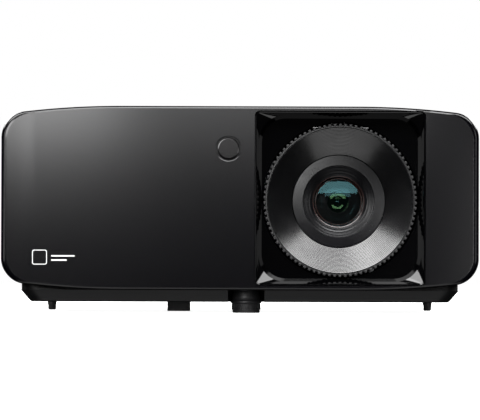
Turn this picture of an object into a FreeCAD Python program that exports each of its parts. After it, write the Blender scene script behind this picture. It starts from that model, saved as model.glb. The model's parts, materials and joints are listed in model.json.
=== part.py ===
import FreeCAD, Part
import math
import os

from FreeCAD import Vector

# Home projector, millimetres. +X is to the right seen from the front, +Y runs from the
# lens to the rear panel, +Z is up. The origin is on the floor, under the middle of the case.

# ---- driving dimensions: case ----
body_width = 274.0
body_depth = 216.0
body_height = 105.6        # front panel, bottom edge to top edge
floor_gap = 13.1           # floor to the front panel's bottom edge
crown_flat = 68.0          # half width of the flat stretch of the top and bottom edges
crown_radius = 470.0       # gentle fall of those edges towards the corners
corner_radius = 13.0
wall = 2.4
front_depth = 12.0         # front panel, face to back edge
front_edge = 0.8           # fillet around the face
shell_inset = 0.6          # covers stand this far inside the front panel
split_height = 34.0        # joint between base case and top cover
rear_corner = 14.0         # rear corners in plan
rear_recess = 2.0          # rear panel, behind the edge of the covers
panel_gap = 0.3

# ---- base ----
base_height = 6.3          # floor to the underside of the base
plinth_half_width = 126.2  # where the plinth meets the front panel
plinth_taper = 5.6         # half width lost down to the underside
plinth_setback = 4.0       # behind the front face
plinth_corner = 10.0
plinth_edge = 0.6

# ---- lens bay and lens ----
lens_x = 57.6
lens_height = 65.0
bay_width = 98.2
bay_height = 100.4
bay_centre_x = 57.4
bay_centre_z = 66.0
bay_depth = 9.0
bay_wall = 1.2
bay_taper = 3.0            # each wall leans in by this much down to the floor
bay_corner = 3.0
bay_floor_corner = 11.0
ring_radius = 44.2         # focus ring
ring_gap = 0.6             # around the focus ring, in the bay floor
ring_band = 2.2            # depth of the grip band seen from the front
ring_front = 7.0           # front edge of the ring, behind the face
cone_length = 30.5         # stepped cone, from the front edge of the ring
zoom_front_room = 9.0      # between the cone and the zoom ring's room
zoom_rear_room = 4.0
ring_grip = 10.0           # length of the grip band
ring_teeth = 90
tooth_depth = 0.8
baffle_steps = 20
baffle_mouth = 27.2        # small end of the stepped cone
barrel_radius = 30.0
barrel_wall = 2.8
slide_gap = 0.3            # between a lens cell and the barrel
turn_gap = 0.4             # between a ring and the barrel
glass_radius = 15.0
glass_fit = 0.05           # around a glass in its cell
zoom_ring_radius = 36.0
zoom_lever_width = 8.0
zoom_lever_length = 6.0
zoom_slot_half = 20.0
zoom_turn_room = 3.0       # slot width beyond the lever, each side

# ---- front details ----
window_x = -6.7
window_z = 94.4
window_radius = 6.35
window_gap = 0.75

# ---- feet ----
foot_x = 3.7
foot_y = -88.0
foot_pad_radius = 7.9
foot_pad_height = 1.6
foot_knob_top = 7.05
foot_knob_waist = 8.25
foot_flange = 9.0
foot_pocket_radius = 10.5
foot_pocket_top = 15.0
stem_radius = 3.0
stem_top = 40.0
stem_gap = 0.06
rear_foot_x = 116.5
rear_foot_y = 62.0
rear_stem_radius = 1.6
rear_tip_radius = 2.5
rear_tip_height = 3.4
rear_collar_radius = 2.8
rear_stem_top = 26.0

# ---- fastenings ----
screw_radius = 1.5
screw_head = 2.9
screw_clear = 0.06
post_radius = 4.2
post_x = 116.0
post_front_y = -84.0
post_rear_y = 88.0
insert_radius = 3.0
insert_bore = 1.65
mount_half_x = 80.0
mount_half_y = 50.0
insert_length = 8.0

# ---- side vents ----
vent_front = -78.0
vent_rear = 72.0
vent_bottom = 42.0
vent_top = 96.0
vent_pitch = 6.0
vent_slot = 3.4
vent_margin = 5.0

# ---- fans ----
fan_size = 70.0
fan_thick = 20.0
fan_rim = 2.0              # frame left around the bore at its thinnest
fan_tip_gap = 1.2          # between the blades and the bore
fan_hub = 12.0
fan_blades = 9
fan_side_gap = 2.6         # between the side wall and the fan frame
fan_height = 65.0
intake_y = 40.0
exhaust_y = 25.0

# ---- keypad ----
key_x = -40.0
key_y = 48.0
key_pitch = 12.5
key_proud = 0.4
key_gap = 0.35
key_travel = 0.8
key_flange = 1.2
key_length = 6.5
board_thick = 1.6
crown_allowance = 0.3      # the cover falls a little towards its corners
light_radius = 1.2
switch_height = 1.4
switch_gap = 0.2           # between a pressed key and its switch

# ---- optical engine ----
beam_y = -10.0
engine_left = -62.0
engine_right = 84.0
engine_front = -30.0
engine_rear = 6.0
wheel_bay_right = -28.0
wheel_bay_rear = 34.0
engine_bottom = 40.0
engine_top = 90.0
engine_wall = 3.0
wheel_radius = 22.0
wheel_x = -38.0
tunnel_left = -32.0
tunnel_length = 28.0
prism_size = 24.0
wheel_rise = 4.0           # the beam crosses the wheel this far inside its rim
relay_radius = 9.0
chip_width = 19.0
chip_height = 13.0
pipe_radius = 3.0
sink_start = 22.0          # heat sink, behind the beam
sink_length = 60.0

# ---- boards and rear sockets ----
main_board_z = 58.0
power_board_z = 20.0
socket_depth = 18.0
board_gap = 0.5            # between the main board and the rear panel
main_left = -52.0
main_right = 104.0
main_front = 36.0
power_left = -66.0
power_right = 30.0
power_front = 45.0
power_rear = 98.0
inlet_x = -84.0
inlet_z = 37.0
inlet_width = 27.4
inlet_height = 20.0

# ---- security bar ----
bar_x = -36.0
bar_y = -40.0
bar_width = 13.4
bar_bottom = 0.5
bar_half_length = 9.0
bar_slot_half = 5.5
bar_thick = 1.6

front_y = -body_depth / 2
rear_y = body_depth / 2
body_bottom = floor_gap
body_top = floor_gap + body_height
shell_front = front_y + front_depth
rear_panel_back = rear_y - rear_recess
rear_panel_front = rear_panel_back - wall
plinth_back = rear_panel_front - panel_gap
floor_inside = base_height + wall
cover_top = body_top - shell_inset
cover_inside = cover_top - wall
collar_top = floor_gap + 6.5    # the plinth's wall runs up into the curved underside of the case
side_out = body_width / 2 - shell_inset
side_in = side_out - wall
lens_axis_point = Vector(lens_x, 0, lens_height)
fan_bore = fan_size / 2 - fan_rim
blade_reach = fan_bore - fan_tip_gap
ring_y = front_y + ring_front
cone_back = ring_y + cone_length
zoom_mid_y = (cone_back + zoom_front_room + engine_front - zoom_rear_room) / 2
switch_top = cover_top + key_proud - key_length - key_travel - switch_gap
wheel_y = beam_y + wheel_radius - wheel_rise
sink_front = beam_y + sink_start
sink_rear = sink_front + sink_length
main_rear = rear_panel_front - board_gap


# ---- helpers ----
def block(x0, x1, y0, y1, z0, z1):
    return Part.makeBox(x1 - x0, y1 - y0, z1 - z0, Vector(x0, y0, z0))


def rod(radius, start, length, axis):
    return Part.makeCylinder(radius, length, Vector(*start), Vector(*axis))


def rod_x(radius, x0, x1, y, z):
    return rod(radius, (x0, y, z), x1 - x0, (1, 0, 0))


def rod_y(radius, y0, y1, x, z):
    return rod(radius, (x, y0, z), y1 - y0, (0, 1, 0))


def rod_z(radius, z0, z1, x, y):
    return rod(radius, (x, y, z0), z1 - z0, (0, 0, 1))


def joined(shapes):
    shapes = list(shapes)
    return shapes[0].multiFuse(shapes[1:]).removeSplitter() if len(shapes) > 1 else shapes[0]


def cut(shape, tools):
    for tool in tools:
        shape = shape.cut(tool)
    return shape


def arc(centre, radius, start_deg, end_deg):
    """Arc in the XZ plane, given as (x, z) centre."""
    points = []
    for angle in (start_deg, (start_deg + end_deg) / 2, end_deg):
        turn = math.radians(angle)
        points.append(Vector(centre[0] + radius * math.cos(turn), 0, centre[1] + radius * math.sin(turn)))
    return Part.Arc(*points).toShape()


def line(start, end):
    return Part.LineSegment(Vector(start[0], 0, start[1]), Vector(end[0], 0, end[1])).toShape()


def body_section(inset, y0, y1):
    """The case's outline, drawn in by inset, as a prism from y0 to y1."""
    middle = (body_top + body_bottom) / 2
    half_w = body_width / 2
    half_h = body_height / 2
    crown_z = half_h - crown_radius
    corner_x = half_w - corner_radius
    reach = crown_radius - corner_radius
    corner_z = crown_z + math.sqrt(reach ** 2 - (corner_x - crown_flat) ** 2)
    lean = math.degrees(math.atan2(corner_z - crown_z, corner_x - crown_flat))
    crown = crown_radius - inset
    corner = corner_radius - inset
    edges = []
    for sx, sz in ((1, 1), (1, -1), (-1, -1), (-1, 1)):
        centre_crown = (sx * crown_flat, middle + sz * crown_z)
        centre_corner = (sx * corner_x, middle + sz * corner_z)

        def mirrored(angle, sx=sx, sz=sz):
            along = math.radians(angle)
            return math.degrees(math.atan2(sz * math.sin(along), sx * math.cos(along)))

        def swept(centre, radius, first, last):
            a, b = mirrored(first), mirrored(last)
            if b - a > 180:
                b -= 360
            if a - b > 180:
                a -= 360
            return arc(centre, radius, a, b)

        edges.append(swept(centre_crown, crown, 90, lean))
        edges.append(swept(centre_corner, corner, lean, 0))
        side, top = sx * (half_w - inset), middle + sz * (half_h - inset)
        edges.append(line((side, middle + sz * corner_z), (side, middle)))
        edges.append(line((sx * crown_flat, top), (0, top)))
    wire = Part.Wire(Part.__sortEdges__(edges))
    prism = Part.Face(wire).extrude(Vector(0, y1 - y0, 0))
    prism.translate(Vector(0, y0, 0))
    return prism.removeSplitter()


def plan_wire(x0, x1, y0, y1, radius, z):
    """Rounded rectangle seen from above."""
    return rounded_wire(x0, x1, y0, y1, radius, lambda a, b: Vector(a, b, z))


def rounded_wire(a0, a1, b0, b1, radius, place):
    edges = []
    corners = ((a1 - radius, b1 - radius, 0), (a0 + radius, b1 - radius, 90),
               (a0 + radius, b0 + radius, 180), (a1 - radius, b0 + radius, 270))
    ends = []
    for a, b, start in corners:
        points = []
        for angle in (start, start + 45, start + 90):
            turn = math.radians(angle)
            points.append(place(a + radius * math.cos(turn), b + radius * math.sin(turn)))
        edges.append(Part.Arc(*points).toShape())
        ends.append((points[0], points[2]))
    for index in range(4):
        start, end = ends[index][1], ends[(index + 1) % 4][0]
        edges.append(Part.LineSegment(start, end).toShape())
    return Part.Wire(Part.__sortEdges__(edges))


def plan_prism(x0, x1, y0, y1, radius, z0, z1):
    return Part.Face(plan_wire(x0, x1, y0, y1, radius, z0)).extrude(Vector(0, 0, z1 - z0))


def face_prism(x0, x1, z0, z1, radius, y0, y1):
    """Rounded rectangle seen from the front, as a prism from y0 to y1."""
    wire = rounded_wire(x0, x1, z0, z1, radius, lambda a, b: Vector(a, y0, b))
    return Part.Face(wire).extrude(Vector(0, y1 - y0, 0))


def turned(profile, axis_x, axis_z):
    """Turns a closed (radius, y) outline about an axis along Y."""
    points = [Vector(axis_x + r, y, axis_z) for r, y in profile]
    face = Part.Face(Part.makePolygon(points + points[:1]))
    return face.revolve(Vector(axis_x, 0, axis_z), Vector(0, 1, 0), 360)


def turned_up(profile, x, y):
    """Turns a closed (radius, z) outline about an upright axis."""
    points = [Vector(x + r, y, z) for r, z in profile]
    face = Part.Face(Part.makePolygon(points + points[:1]))
    return face.revolve(Vector(x, y, 0), Vector(0, 0, 1), 360)


def save(node, shape):
    solids = shape.Solids
    if not solids or not shape.isValid():
        raise ValueError("no valid solid in " + node)
    result = solids[0] if len(solids) == 1 else Part.makeCompound(solids)
    result.exportStep(os.path.join("parts", node + ".step"))


# ---- case ----
def bay_prism(extra, y0, y1):
    half_w = bay_width / 2 + extra
    half_h = bay_height / 2 + extra
    return face_prism(bay_centre_x - half_w, bay_centre_x + half_w, bay_centre_z - half_h,
                      bay_centre_z + half_h, bay_corner, y0, y1)


def bay_loft(grow, y0, y1):
    """Tapered well: the mouth at y0, the smaller floor outline with wide corners at y1."""
    wires = []
    for y, lean, radius in ((y0, 0, bay_corner), (y1, bay_taper, bay_floor_corner)):
        half_w = bay_width / 2 + grow - lean
        half_h = bay_height / 2 + grow - lean
        wires.append(rounded_wire(bay_centre_x - half_w, bay_centre_x + half_w, bay_centre_z - half_h,
                                  bay_centre_z + half_h, radius, lambda a, b, y=y: Vector(a, y, b)))
    return Part.makeLoft(wires, True)


def front_panel():
    shell = body_section(0, front_y, shell_front)
    rim = [e for e in shell.Edges if e.BoundBox.YMax < front_y + 0.01]
    shell = shell.makeFillet(front_edge, rim)
    hollow = body_section(wall, front_y + wall, shell_front + 1)
    window = rod_y(window_radius + window_gap, front_y - 1, front_y + wall + 1, window_x, window_z)
    return cut(shell, [hollow, bay_prism(0, front_y - 1, front_y + wall + 1), window])


def lens_bay():
    """Tapered well around the lens, with a round hole in its floor for the focus ring."""
    floor_y = front_y + bay_depth
    liner = bay_loft(0, front_y, floor_y + bay_wall)
    well = bay_loft(-bay_wall, front_y, floor_y)
    hole = rod_y(ring_radius + ring_gap, front_y - 1, floor_y + bay_wall + 1, lens_x, lens_height)
    return cut(liner, [well, hole])


def post_places():
    return [(sx * post_x, y) for sx in (-1, 1) for y in (post_front_y, post_rear_y)]


def case_shell(z0, z1):
    """Wall of the case between two heights, open at the front, with rounded rear corners."""
    outer = body_section(shell_inset, shell_front, rear_y)
    plan = plan_prism(-side_out, side_out, shell_front - 40, rear_y, rear_corner, z0, z1)
    inner = body_section(shell_inset + wall, shell_front - 1, rear_y + 1)
    inner_corner = rear_corner - wall
    inner_plan = plan_prism(-side_in, side_in, shell_front - 60, rear_y + 60, inner_corner, z0 - 1, z1 + 1)
    rounded = plan_prism(-side_in, side_in, shell_front - 60, rear_panel_back, inner_corner, z0 - 1, z1 + 1)
    doorway = block(-side_in + wall, side_in - wall, rear_panel_front - 1, rear_y + 1, z0 - 1, z1 + 1)
    back_opening = inner.common(inner_plan).common(doorway)
    hollow = inner.common(rounded)
    return cut(outer.common(plan), [hollow, back_opening])


def side_window(sign, grow):
    x0, x1 = sorted((sign * (side_in - 1), sign * (side_out + 1)))
    return block(x0, x1, vent_front - grow, vent_rear + grow, vent_bottom - grow, vent_top + grow)


def top_cover():
    cover = case_shell(split_height, body_top + 1)
    reach = body_section(shell_inset + wall / 2, shell_front, rear_y)
    posts = [rod_z(post_radius, split_height, body_top, x, y).common(reach) for x, y in post_places()]
    cover = joined([cover] + posts)
    holes = [side_window(-1, 0), side_window(1, 0), zoom_slot()]
    holes += [rod_z(screw_radius + screw_clear, split_height - 1, split_height + 14, x, y)
              for x, y in post_places()]
    holes += [key_shape(spec, key_gap, cover_inside - 1, cover_top + 1) for spec in keys()]
    holes += [rod_z(light_radius, cover_inside - 1, cover_top + 1, x, y) for x, y in light_places()]
    return cut(cover, holes)


def zoom_slot():
    half = zoom_slot_half
    y0 = zoom_mid_y - zoom_lever_length / 2 - zoom_turn_room
    y1 = zoom_mid_y + zoom_lever_length / 2 + zoom_turn_room
    return plan_prism(lens_x - half, lens_x + half, y0, y1, (y1 - y0) / 2.2, cover_inside - 1, cover_top + 1)


def plinth(inset, z0, edge=0.0):
    """Tapered tray under the case, drawn in by inset, from z0 up to the front panel's edge."""
    levels = [(z0, edge), (z0 + edge, 0.0), (floor_gap, 0.0)] if edge else [(z0, 0.0), (floor_gap, 0.0)]
    wires = []
    for z, bevel in levels:
        lean = plinth_taper * (floor_gap - z) / (floor_gap - base_height)
        half = plinth_half_width - inset - lean - bevel
        draw = inset + lean / 2 + bevel
        wires.append(plan_wire(-half, half, front_y + plinth_setback + draw, plinth_back - draw,
                               plinth_corner - inset, z))
    return Part.makeLoft(wires, True, True)


def base_bosses():
    """Groups of posts that stand on the floor of the base."""
    z0 = floor_inside - 0.5
    knob_wall = rod_z(foot_pocket_radius + wall, z0, foot_pocket_top + wall, foot_x, foot_y)
    insert_top = base_height + insert_length + wall
    behind_front = block(-body_width, body_width, shell_front + 1, rear_y, 0, body_top)
    return [[rod_z(post_radius, z0, split_height, x, y) for x, y in post_places()],
            [rod_z(insert_radius + 2, z0, insert_top, x, y) for x, y in insert_places()],
            [knob_wall.common(behind_front)],
            [rod_z(stem_radius + 3, foot_pocket_top, stem_top - 12, foot_x, foot_y)],
            [rod_z(rear_stem_radius + 2, z0, rear_stem_top - 6, sx * rear_foot_x, rear_foot_y)
             for sx in (-1, 1)],
            [rod_z(3.0, z0, power_board_z, x, y) for x, y in power_board_posts()],
            [rod_z(3.0, z0, main_board_z, x, y) for x, y in main_board_posts()]]


def base_case():
    lower = case_shell(0, split_height)
    tray = plinth(0, base_height, plinth_edge)
    half = plinth_half_width
    collar = plan_prism(-half, half, shell_front, plinth_back, plinth_corner, floor_gap - 0.2, collar_top)
    collar = collar.cut(plan_prism(-half + wall, half - wall, shell_front + wall, plinth_back - wall,
                                   plinth_corner - wall, 0, collar_top + 1))
    hollow = plinth(wall, floor_inside)
    floor_hole = plan_prism(-plinth_half_width + wall + plinth_taper, plinth_half_width - wall - plinth_taper,
                            shell_front + wall, plinth_back - wall - plinth_taper, plinth_corner,
                            floor_gap - 0.5, collar_top)
    shell = cut(joined([lower, tray, collar]), [hollow, floor_hole])
    for bosses in base_bosses():
        shell = joined([shell] + bosses)
    holes = [rod_z(screw_radius + screw_clear, 0, split_height + 1, x, y) for x, y in post_places()]
    holes += [rod_z(screw_head + 0.3, 0, base_height + 2.0, x, y) for x, y in post_places()]
    holes += [rod_z(insert_radius, 0, base_height + insert_length, x, y) for x, y in insert_places()]
    holes.append(rod_z(foot_pocket_radius, 0, foot_pocket_top, foot_x, foot_y))
    pocket_left, pocket_right = foot_x - foot_pocket_radius, foot_x + foot_pocket_radius
    holes.append(block(pocket_left, pocket_right, front_y, foot_y, 0, floor_gap))
    holes.append(rod_z(stem_radius + stem_gap, 0, stem_top, foot_x, foot_y))
    holes += [rod_z(rear_stem_radius + stem_gap, 0, rear_stem_top, sx * rear_foot_x, rear_foot_y)
              for sx in (-1, 1)]
    return cut(shell, holes)


def rear_panel():
    panel = body_section(shell_inset + wall + panel_gap, rear_panel_front, rear_panel_back)
    narrow = side_in - wall - panel_gap
    panel = panel.common(block(-narrow, narrow, rear_panel_front - 1, rear_panel_back + 1, 0, body_top))
    ports = [socket_block(spec, 0.3, rear_panel_front - 1, rear_panel_back + 1) for spec in sockets()]
    inlet = block(inlet_x - inlet_width / 2, inlet_x + inlet_width / 2, rear_panel_front - 1,
                  rear_panel_back + 1, inlet_z - inlet_height / 2, inlet_z + inlet_height / 2)
    return cut(panel, ports + [inlet])


def vent_grille(sign):
    """Side grille: a plate with upright slots, flush with the cover."""
    x0, x1 = sorted((sign * side_in, sign * side_out))
    plate = block(x0, x1, vent_front, vent_rear, vent_bottom, vent_top)
    count = int((vent_rear - vent_front - 2 * vent_margin) // vent_pitch)
    first = (vent_front + vent_rear - (count - 1) * vent_pitch) / 2
    slots = []
    for i in range(count):
        middle = first + i * vent_pitch
        slots.append(block(x0 - 1, x1 + 1, middle - vent_slot / 2, middle + vent_slot / 2,
                           vent_bottom + vent_margin, vent_top - vent_margin))
    return plate.cut(Part.makeCompound(slots))


def ir_window():
    lens = rod_y(window_radius, front_y + 0.3, front_y + wall, window_x, window_z)
    flange = rod_y(window_radius + 2.5, front_y + wall, front_y + wall + 1.2, window_x, window_z)
    return joined([lens, flange])


def ir_receiver_board():
    y0 = front_y + wall + 4.0
    board = block(window_x - 9, window_x + 9, y0, y0 + board_thick, window_z - 9, window_z + 9)
    sensor = block(window_x - 2.5, window_x + 2.5, y0 - 2.4, y0, window_z - 3, window_z + 3)
    return joined([board, sensor])


# ---- keypad ----
def keys():
    """(node, x offset, y offset, width, depth, corner radius)"""
    p = key_pitch
    return [("up_key", 0, p, 13, 8, 2), ("down_key", 0, -p, 13, 8, 2), ("left_key", -p, 0, 8, 13, 2),
            ("right_key", p, 0, 8, 13, 2), ("enter_key", 0, 0, 11, 11, 5.4),
            ("menu_key", -2.4 * p, 0, 12, 12, 5.9), ("power_key", 2.6 * p, 0, 13, 13, 6.4)]


def key_shape(spec, grow, z0, z1):
    x, y = key_x + spec[1], key_y + spec[2]
    half_x, half_y = spec[3] / 2 + grow, spec[4] / 2 + grow
    corner = min(spec[5] + grow, half_x - 0.05)
    return plan_prism(x - half_x, x + half_x, y - half_y, y + half_y, corner, z0, z1)


def key(spec):
    top = cover_top + key_proud
    cap = key_shape(spec, 0, top - key_length, top)
    rim = [e for e in cap.Edges if e.BoundBox.ZMin > top - 0.01]
    cap = cap.makeFillet(0.6, rim)
    under = cover_inside - 0.05
    return joined([cap, key_shape(spec, key_flange, top - key_length, under - key_travel)])


def light_places():
    return [(key_x + 3.6 * key_pitch + i * 6.0, key_y) for i in range(3)]


def status_light_pipes():
    pipes = [rod_z(light_radius, switch_top, cover_top, x, y) for x, y in light_places()]
    return Part.makeCompound(pipes)


def keypad_board():
    left = key_x - 2.4 * key_pitch - 10
    right = light_places()[-1][0] + 6
    z1 = switch_top - switch_height
    board = block(left, right, key_y - 24, key_y + 24, z1 - board_thick, z1)
    switches = [block(key_x + s[1] - 3, key_x + s[1] + 3, key_y + s[2] - 3, key_y + s[2] + 3, z1, switch_top)
                for s in keys()]
    lights = [block(x - 1.5, x + 1.5, y - 1, y + 1, z1, switch_top) for x, y in light_places()]
    posts = [rod_z(2.5, z1, cover_inside - crown_allowance, x, y) for x in (left + 3, right - 3)
             for y in (key_y - 21, key_y + 21)]
    return joined([board] + switches + lights + posts)


# ---- lens ----
def focus_ring():
    back = ring_y + ring_grip
    inner = ring_radius - ring_band
    ring = turned([(ring_radius, ring_y), (ring_radius, back), (barrel_radius + 5, cone_back - 1),
                   (barrel_radius + 5, cone_back + 9), (barrel_radius + turn_gap, cone_back + 9),
                   (barrel_radius + turn_gap, cone_back), (inner, ring_y + 4), (inner, ring_y)],
                  lens_x, lens_height)
    tooth = block(-0.75, 0.75, ring_y - 1, back - 1.5, ring_radius - tooth_depth, ring_radius + 1)
    gaps = []
    for i in range(ring_teeth):
        gap = tooth.copy()
        gap.rotate(Vector(0, 0, 0), Vector(0, 1, 0), 360 * i / ring_teeth)
        gap.translate(lens_axis_point)
        gaps.append(gap)
    return ring.cut(Part.makeCompound(gaps))


def focus_ring_baffle():
    """Stepped black cone that keeps stray light off the front glass."""
    outer = ring_radius - ring_band
    mouth = outer - 0.8
    rise = (mouth - baffle_mouth) / baffle_steps
    run = (cone_back - ring_y - 0.4) / baffle_steps
    profile = [(outer, ring_y + 0.4), (outer, ring_y + 4), (barrel_radius + turn_gap, cone_back),
               (baffle_mouth, cone_back)]
    for i in range(baffle_steps):
        r = baffle_mouth + i * rise
        y = cone_back - (i + 1) * run
        profile += [(r, y), (r + rise, y)]
    return turned(profile, lens_x, lens_height)


def focus_lens_cell():
    outer = barrel_radius - barrel_wall - slide_gap
    front = cone_back - 1.0
    step = glass_radius
    return turned([(outer, front), (outer, front + 16), (step - 1.5, front + 16), (step - 1.5, front + 14.5),
                   (step, front + 14.5), (step, front + 8), (step + 1.8, front + 8), (step + 1.8, front + 6),
                   (step + 3.8, front + 6), (step + 3.8, front + 4), (step + 5.6, front + 4),
                   (step + 5.6, front + 2.5)], lens_x, lens_height)


def front_lens():
    """Front glass: a domed disc on a cylindrical edge."""
    y0 = cone_back - 1.0 + 9.5
    edge = rod_y(glass_radius - glass_fit, y0, y0 + 5, lens_x, lens_height)
    return joined([edge, dome(glass_radius - 0.3, 3.0, y0, -1)])


def dome(radius, rise, y, way):
    """Spherical cap on the lens axis, bulging from the plane y."""
    sphere_radius = (radius ** 2 + rise ** 2) / (2 * rise)
    ball = Part.makeSphere(sphere_radius, Vector(lens_x, y - way * (sphere_radius - rise), lens_height))
    y0, y1 = sorted((y, y + way * (rise + 1)))
    return ball.common(rod_y(radius, y0, y1, lens_x, lens_height))


def lens_barrel():
    inner = barrel_radius - barrel_wall
    tube = turned([(barrel_radius, cone_back + 4), (barrel_radius, engine_front - 4), (40, engine_front - 4),
                   (40, engine_front), (inner, engine_front), (inner, cone_back + 4)], lens_x, lens_height)
    holes = [rod_y(1.6, engine_front - 5, engine_front + 1, lens_x + sx * 26, lens_height + sz * 26)
             for sx in (-1, 1) for sz in (-1, 1)]
    return cut(tube, holes)


def rear_lens_elements():
    inner = barrel_radius - barrel_wall
    y0, y1 = engine_front - 8, engine_front - 3
    ring = rod_y(inner - glass_fit, y0, y1, lens_x, lens_height)
    return joined([ring, dome(inner - 6, 2.0, y0, -1), dome(inner - 6, 2.0, y1, 1)])


def zoom_ring():
    inner = barrel_radius + turn_gap
    y0, y1 = zoom_mid_y - 6, zoom_mid_y + 6
    outline = [(zoom_ring_radius, y0), (zoom_ring_radius, y1), (inner, y1), (inner, y0)]
    ring = turned(outline, lens_x, lens_height)
    half = zoom_lever_width / 2
    lever = block(lens_x - half, lens_x + half, zoom_mid_y - zoom_lever_length / 2,
                  zoom_mid_y + zoom_lever_length / 2, lens_height + zoom_ring_radius - 2, cover_top - 0.5)
    return joined([ring, lever])


def zoom_lens_cell():
    outer = barrel_radius - barrel_wall - slide_gap
    y0 = zoom_mid_y - 2
    tube = turned([(outer, y0), (outer, y0 + 9), (outer - 5, y0 + 9), (outer - 5, y0)], lens_x, lens_height)
    glass = rod_y(outer - 5, y0 + 2, y0 + 7, lens_x, lens_height)
    return joined([tube, glass, dome(outer - 7, 2.0, y0 + 2, -1)])


# ---- optical engine ----
def engine_housing():
    """Cast housing for the light path, with cradles for the lenses and legs to the base."""
    t = engine_wall
    outer = joined([block(engine_left, engine_right, engine_front, engine_rear, engine_bottom, engine_top),
                    block(engine_left, wheel_bay_right, engine_rear - 1, wheel_bay_rear, engine_bottom,
                          engine_top)])
    inner = joined([block(engine_left + t, engine_right - t, engine_front + t, engine_rear - t,
                          engine_bottom + t, engine_top - t),
                    block(engine_left + t, wheel_bay_right - t, engine_rear - t - 1, wheel_bay_rear - t,
                          engine_bottom + t, engine_top - t)])
    shell = outer.cut(inner)
    cradles = [block(x - 2, x + 2, engine_front + t - 0.5, engine_rear - t + 0.5, engine_bottom + t - 0.5,
                     lens_height) for x in lens_stations()]
    legs = [rod_z(4, floor_inside, engine_bottom + 0.5, x, y)
            for x in (engine_left + 8, engine_right - 8) for y in (engine_front + 6, engine_rear - 6)]
    shell = joined([shell] + cradles + legs)
    openings = [rod_x(7, engine_left - 1, engine_left + t + 1, beam_y, lens_height),
                rod_y(20, engine_front - 1, engine_front + t + 1, lens_x, lens_height),
                block(lens_x - chip_width / 2, lens_x + chip_width / 2, engine_rear - t - 1, engine_rear + 1,
                      lens_height - chip_height / 2, lens_height + chip_height / 2)]
    openings += [rod_x(relay_radius, x - 3, x + 3, beam_y, lens_height) for x in lens_stations()]
    openings.append(block(tunnel_left, tunnel_left + tunnel_length, beam_y - 4, beam_y + 4,
                          lens_height - 4, lens_height + 4))
    return cut(shell, openings)


def lens_stations():
    return (8.0, 22.0, 34.0)


def illumination_lenses():
    discs = [rod_x(relay_radius, x - 2, x + 2, beam_y, lens_height) for x in lens_stations()]
    discs.append(rod_x(6.5, engine_left + 5, engine_left + 9, beam_y, lens_height))
    return Part.makeCompound(discs)


def light_tunnel():
    outer = block(tunnel_left, tunnel_left + tunnel_length, beam_y - 4, beam_y + 4,
                  lens_height - 4, lens_height + 4)
    bore = block(tunnel_left - 1, tunnel_left + tunnel_length + 1, beam_y - 2.6, beam_y + 2.6,
                 lens_height - 2.6, lens_height + 2.6)
    return outer.cut(bore)


def prism():
    half = prism_size / 2
    rear = engine_rear - engine_wall - 1.0
    return block(lens_x - half, lens_x + half, rear - prism_size, rear,
                 lens_height - half, lens_height + half)


def imaging_chip():
    front = engine_rear - engine_wall - 0.6
    return block(lens_x - chip_width / 2 + 0.2, lens_x + chip_width / 2 - 0.2, front, engine_rear + 0.4,
                 lens_height - chip_height / 2 + 0.2, lens_height + chip_height / 2 - 0.2)


def imaging_chip_board():
    y0 = engine_rear + 0.4
    return block(lens_x - 21, lens_x + 21, y0, y0 + board_thick, lens_height - 20, lens_height + 20)


def imaging_chip_heat_sink():
    y0 = engine_rear + 0.4 + board_thick
    plate = block(lens_x - 18, lens_x + 18, y0, y0 + 4, lens_height - 18, lens_height + 18)
    fins = [block(lens_x - 18 + i * 4.3, lens_x - 18 + i * 4.3 + 1.4, y0 + 3.5, y0 + 22, lens_height - 18,
                  lens_height + 18) for i in range(9)]
    return joined([plate] + fins)


def phosphor_wheel_motor():
    can = rod_x(9, engine_left + engine_wall, wheel_x - 3, wheel_y, lens_height)
    shaft = rod_x(1.5, wheel_x - 4, wheel_x + 1.5, wheel_y, lens_height)
    return joined([can, shaft])


def phosphor_wheel():
    disc = rod_x(wheel_radius, wheel_x - 0.5, wheel_x + 0.5, wheel_y, lens_height)
    hub = rod_x(7, wheel_x - 2, wheel_x + 2, wheel_y, lens_height)
    weight = rod_x(1.2, wheel_x + 0.4, wheel_x + 1.6, wheel_y + 12, lens_height)
    bore = rod_x(1.5 + stem_gap, wheel_x - 3, wheel_x + 3, wheel_y, lens_height)
    return joined([disc, hub, weight]).cut(bore)


# ---- light source ----
def laser_module():
    x1 = engine_left
    x0 = x1 - 30
    y0, y1 = beam_y - 22, beam_y + 18
    z0, z1 = lens_height - 20, lens_height + 20
    case = block(x0, x1, y0, y1, z0, z1)
    beam = rod_x(6, x0 + 6, x1 + 1, beam_y, lens_height)
    diodes = [rod_x(2, x0 + 5.5, x0 + 9, beam_y + dy, lens_height + dz) for dy in (-3, 3) for dz in (-3, 3)]
    return joined([case.cut(beam)] + diodes)


def pipe_heights():
    return [lens_height - 6 + i * 3 * pipe_radius for i in range(3)]


def heat_pipes():
    x = engine_left - 30 - pipe_radius
    pipes = [rod_y(pipe_radius, beam_y - 20, sink_rear + 2, x, z) for z in pipe_heights()]
    return Part.makeCompound(pipes)


def laser_heat_sink():
    """Stack of upright fins on the heat pipes, blown through by the intake fan."""
    x0, x1 = engine_left - 44, engine_left - 2
    z0, z1 = main_board_z - 4, main_board_z + 42
    pitch = 3.2
    count = int((sink_rear - sink_front) // pitch) + 1
    fins = [block(x0, x1, sink_front + i * pitch, sink_front + i * pitch + 0.9, z0, z1) for i in range(count)]
    last = sink_front + (count - 1) * pitch + 0.9
    bars = [block(x, x + 3, sink_front, last, z1 - 1.2, z1) for x in (x0 + 2, x1 - 5)]
    x = engine_left - 30 - pipe_radius
    bores = [rod_y(pipe_radius, sink_front - 1, last + 1, x, z) for z in pipe_heights()]
    return cut(joined(fins + bars), bores)


# ---- fans ----
def fan_place(sign):
    return sign * (side_in - fan_side_gap - fan_thick / 2), intake_y if sign < 0 else exhaust_y


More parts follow.
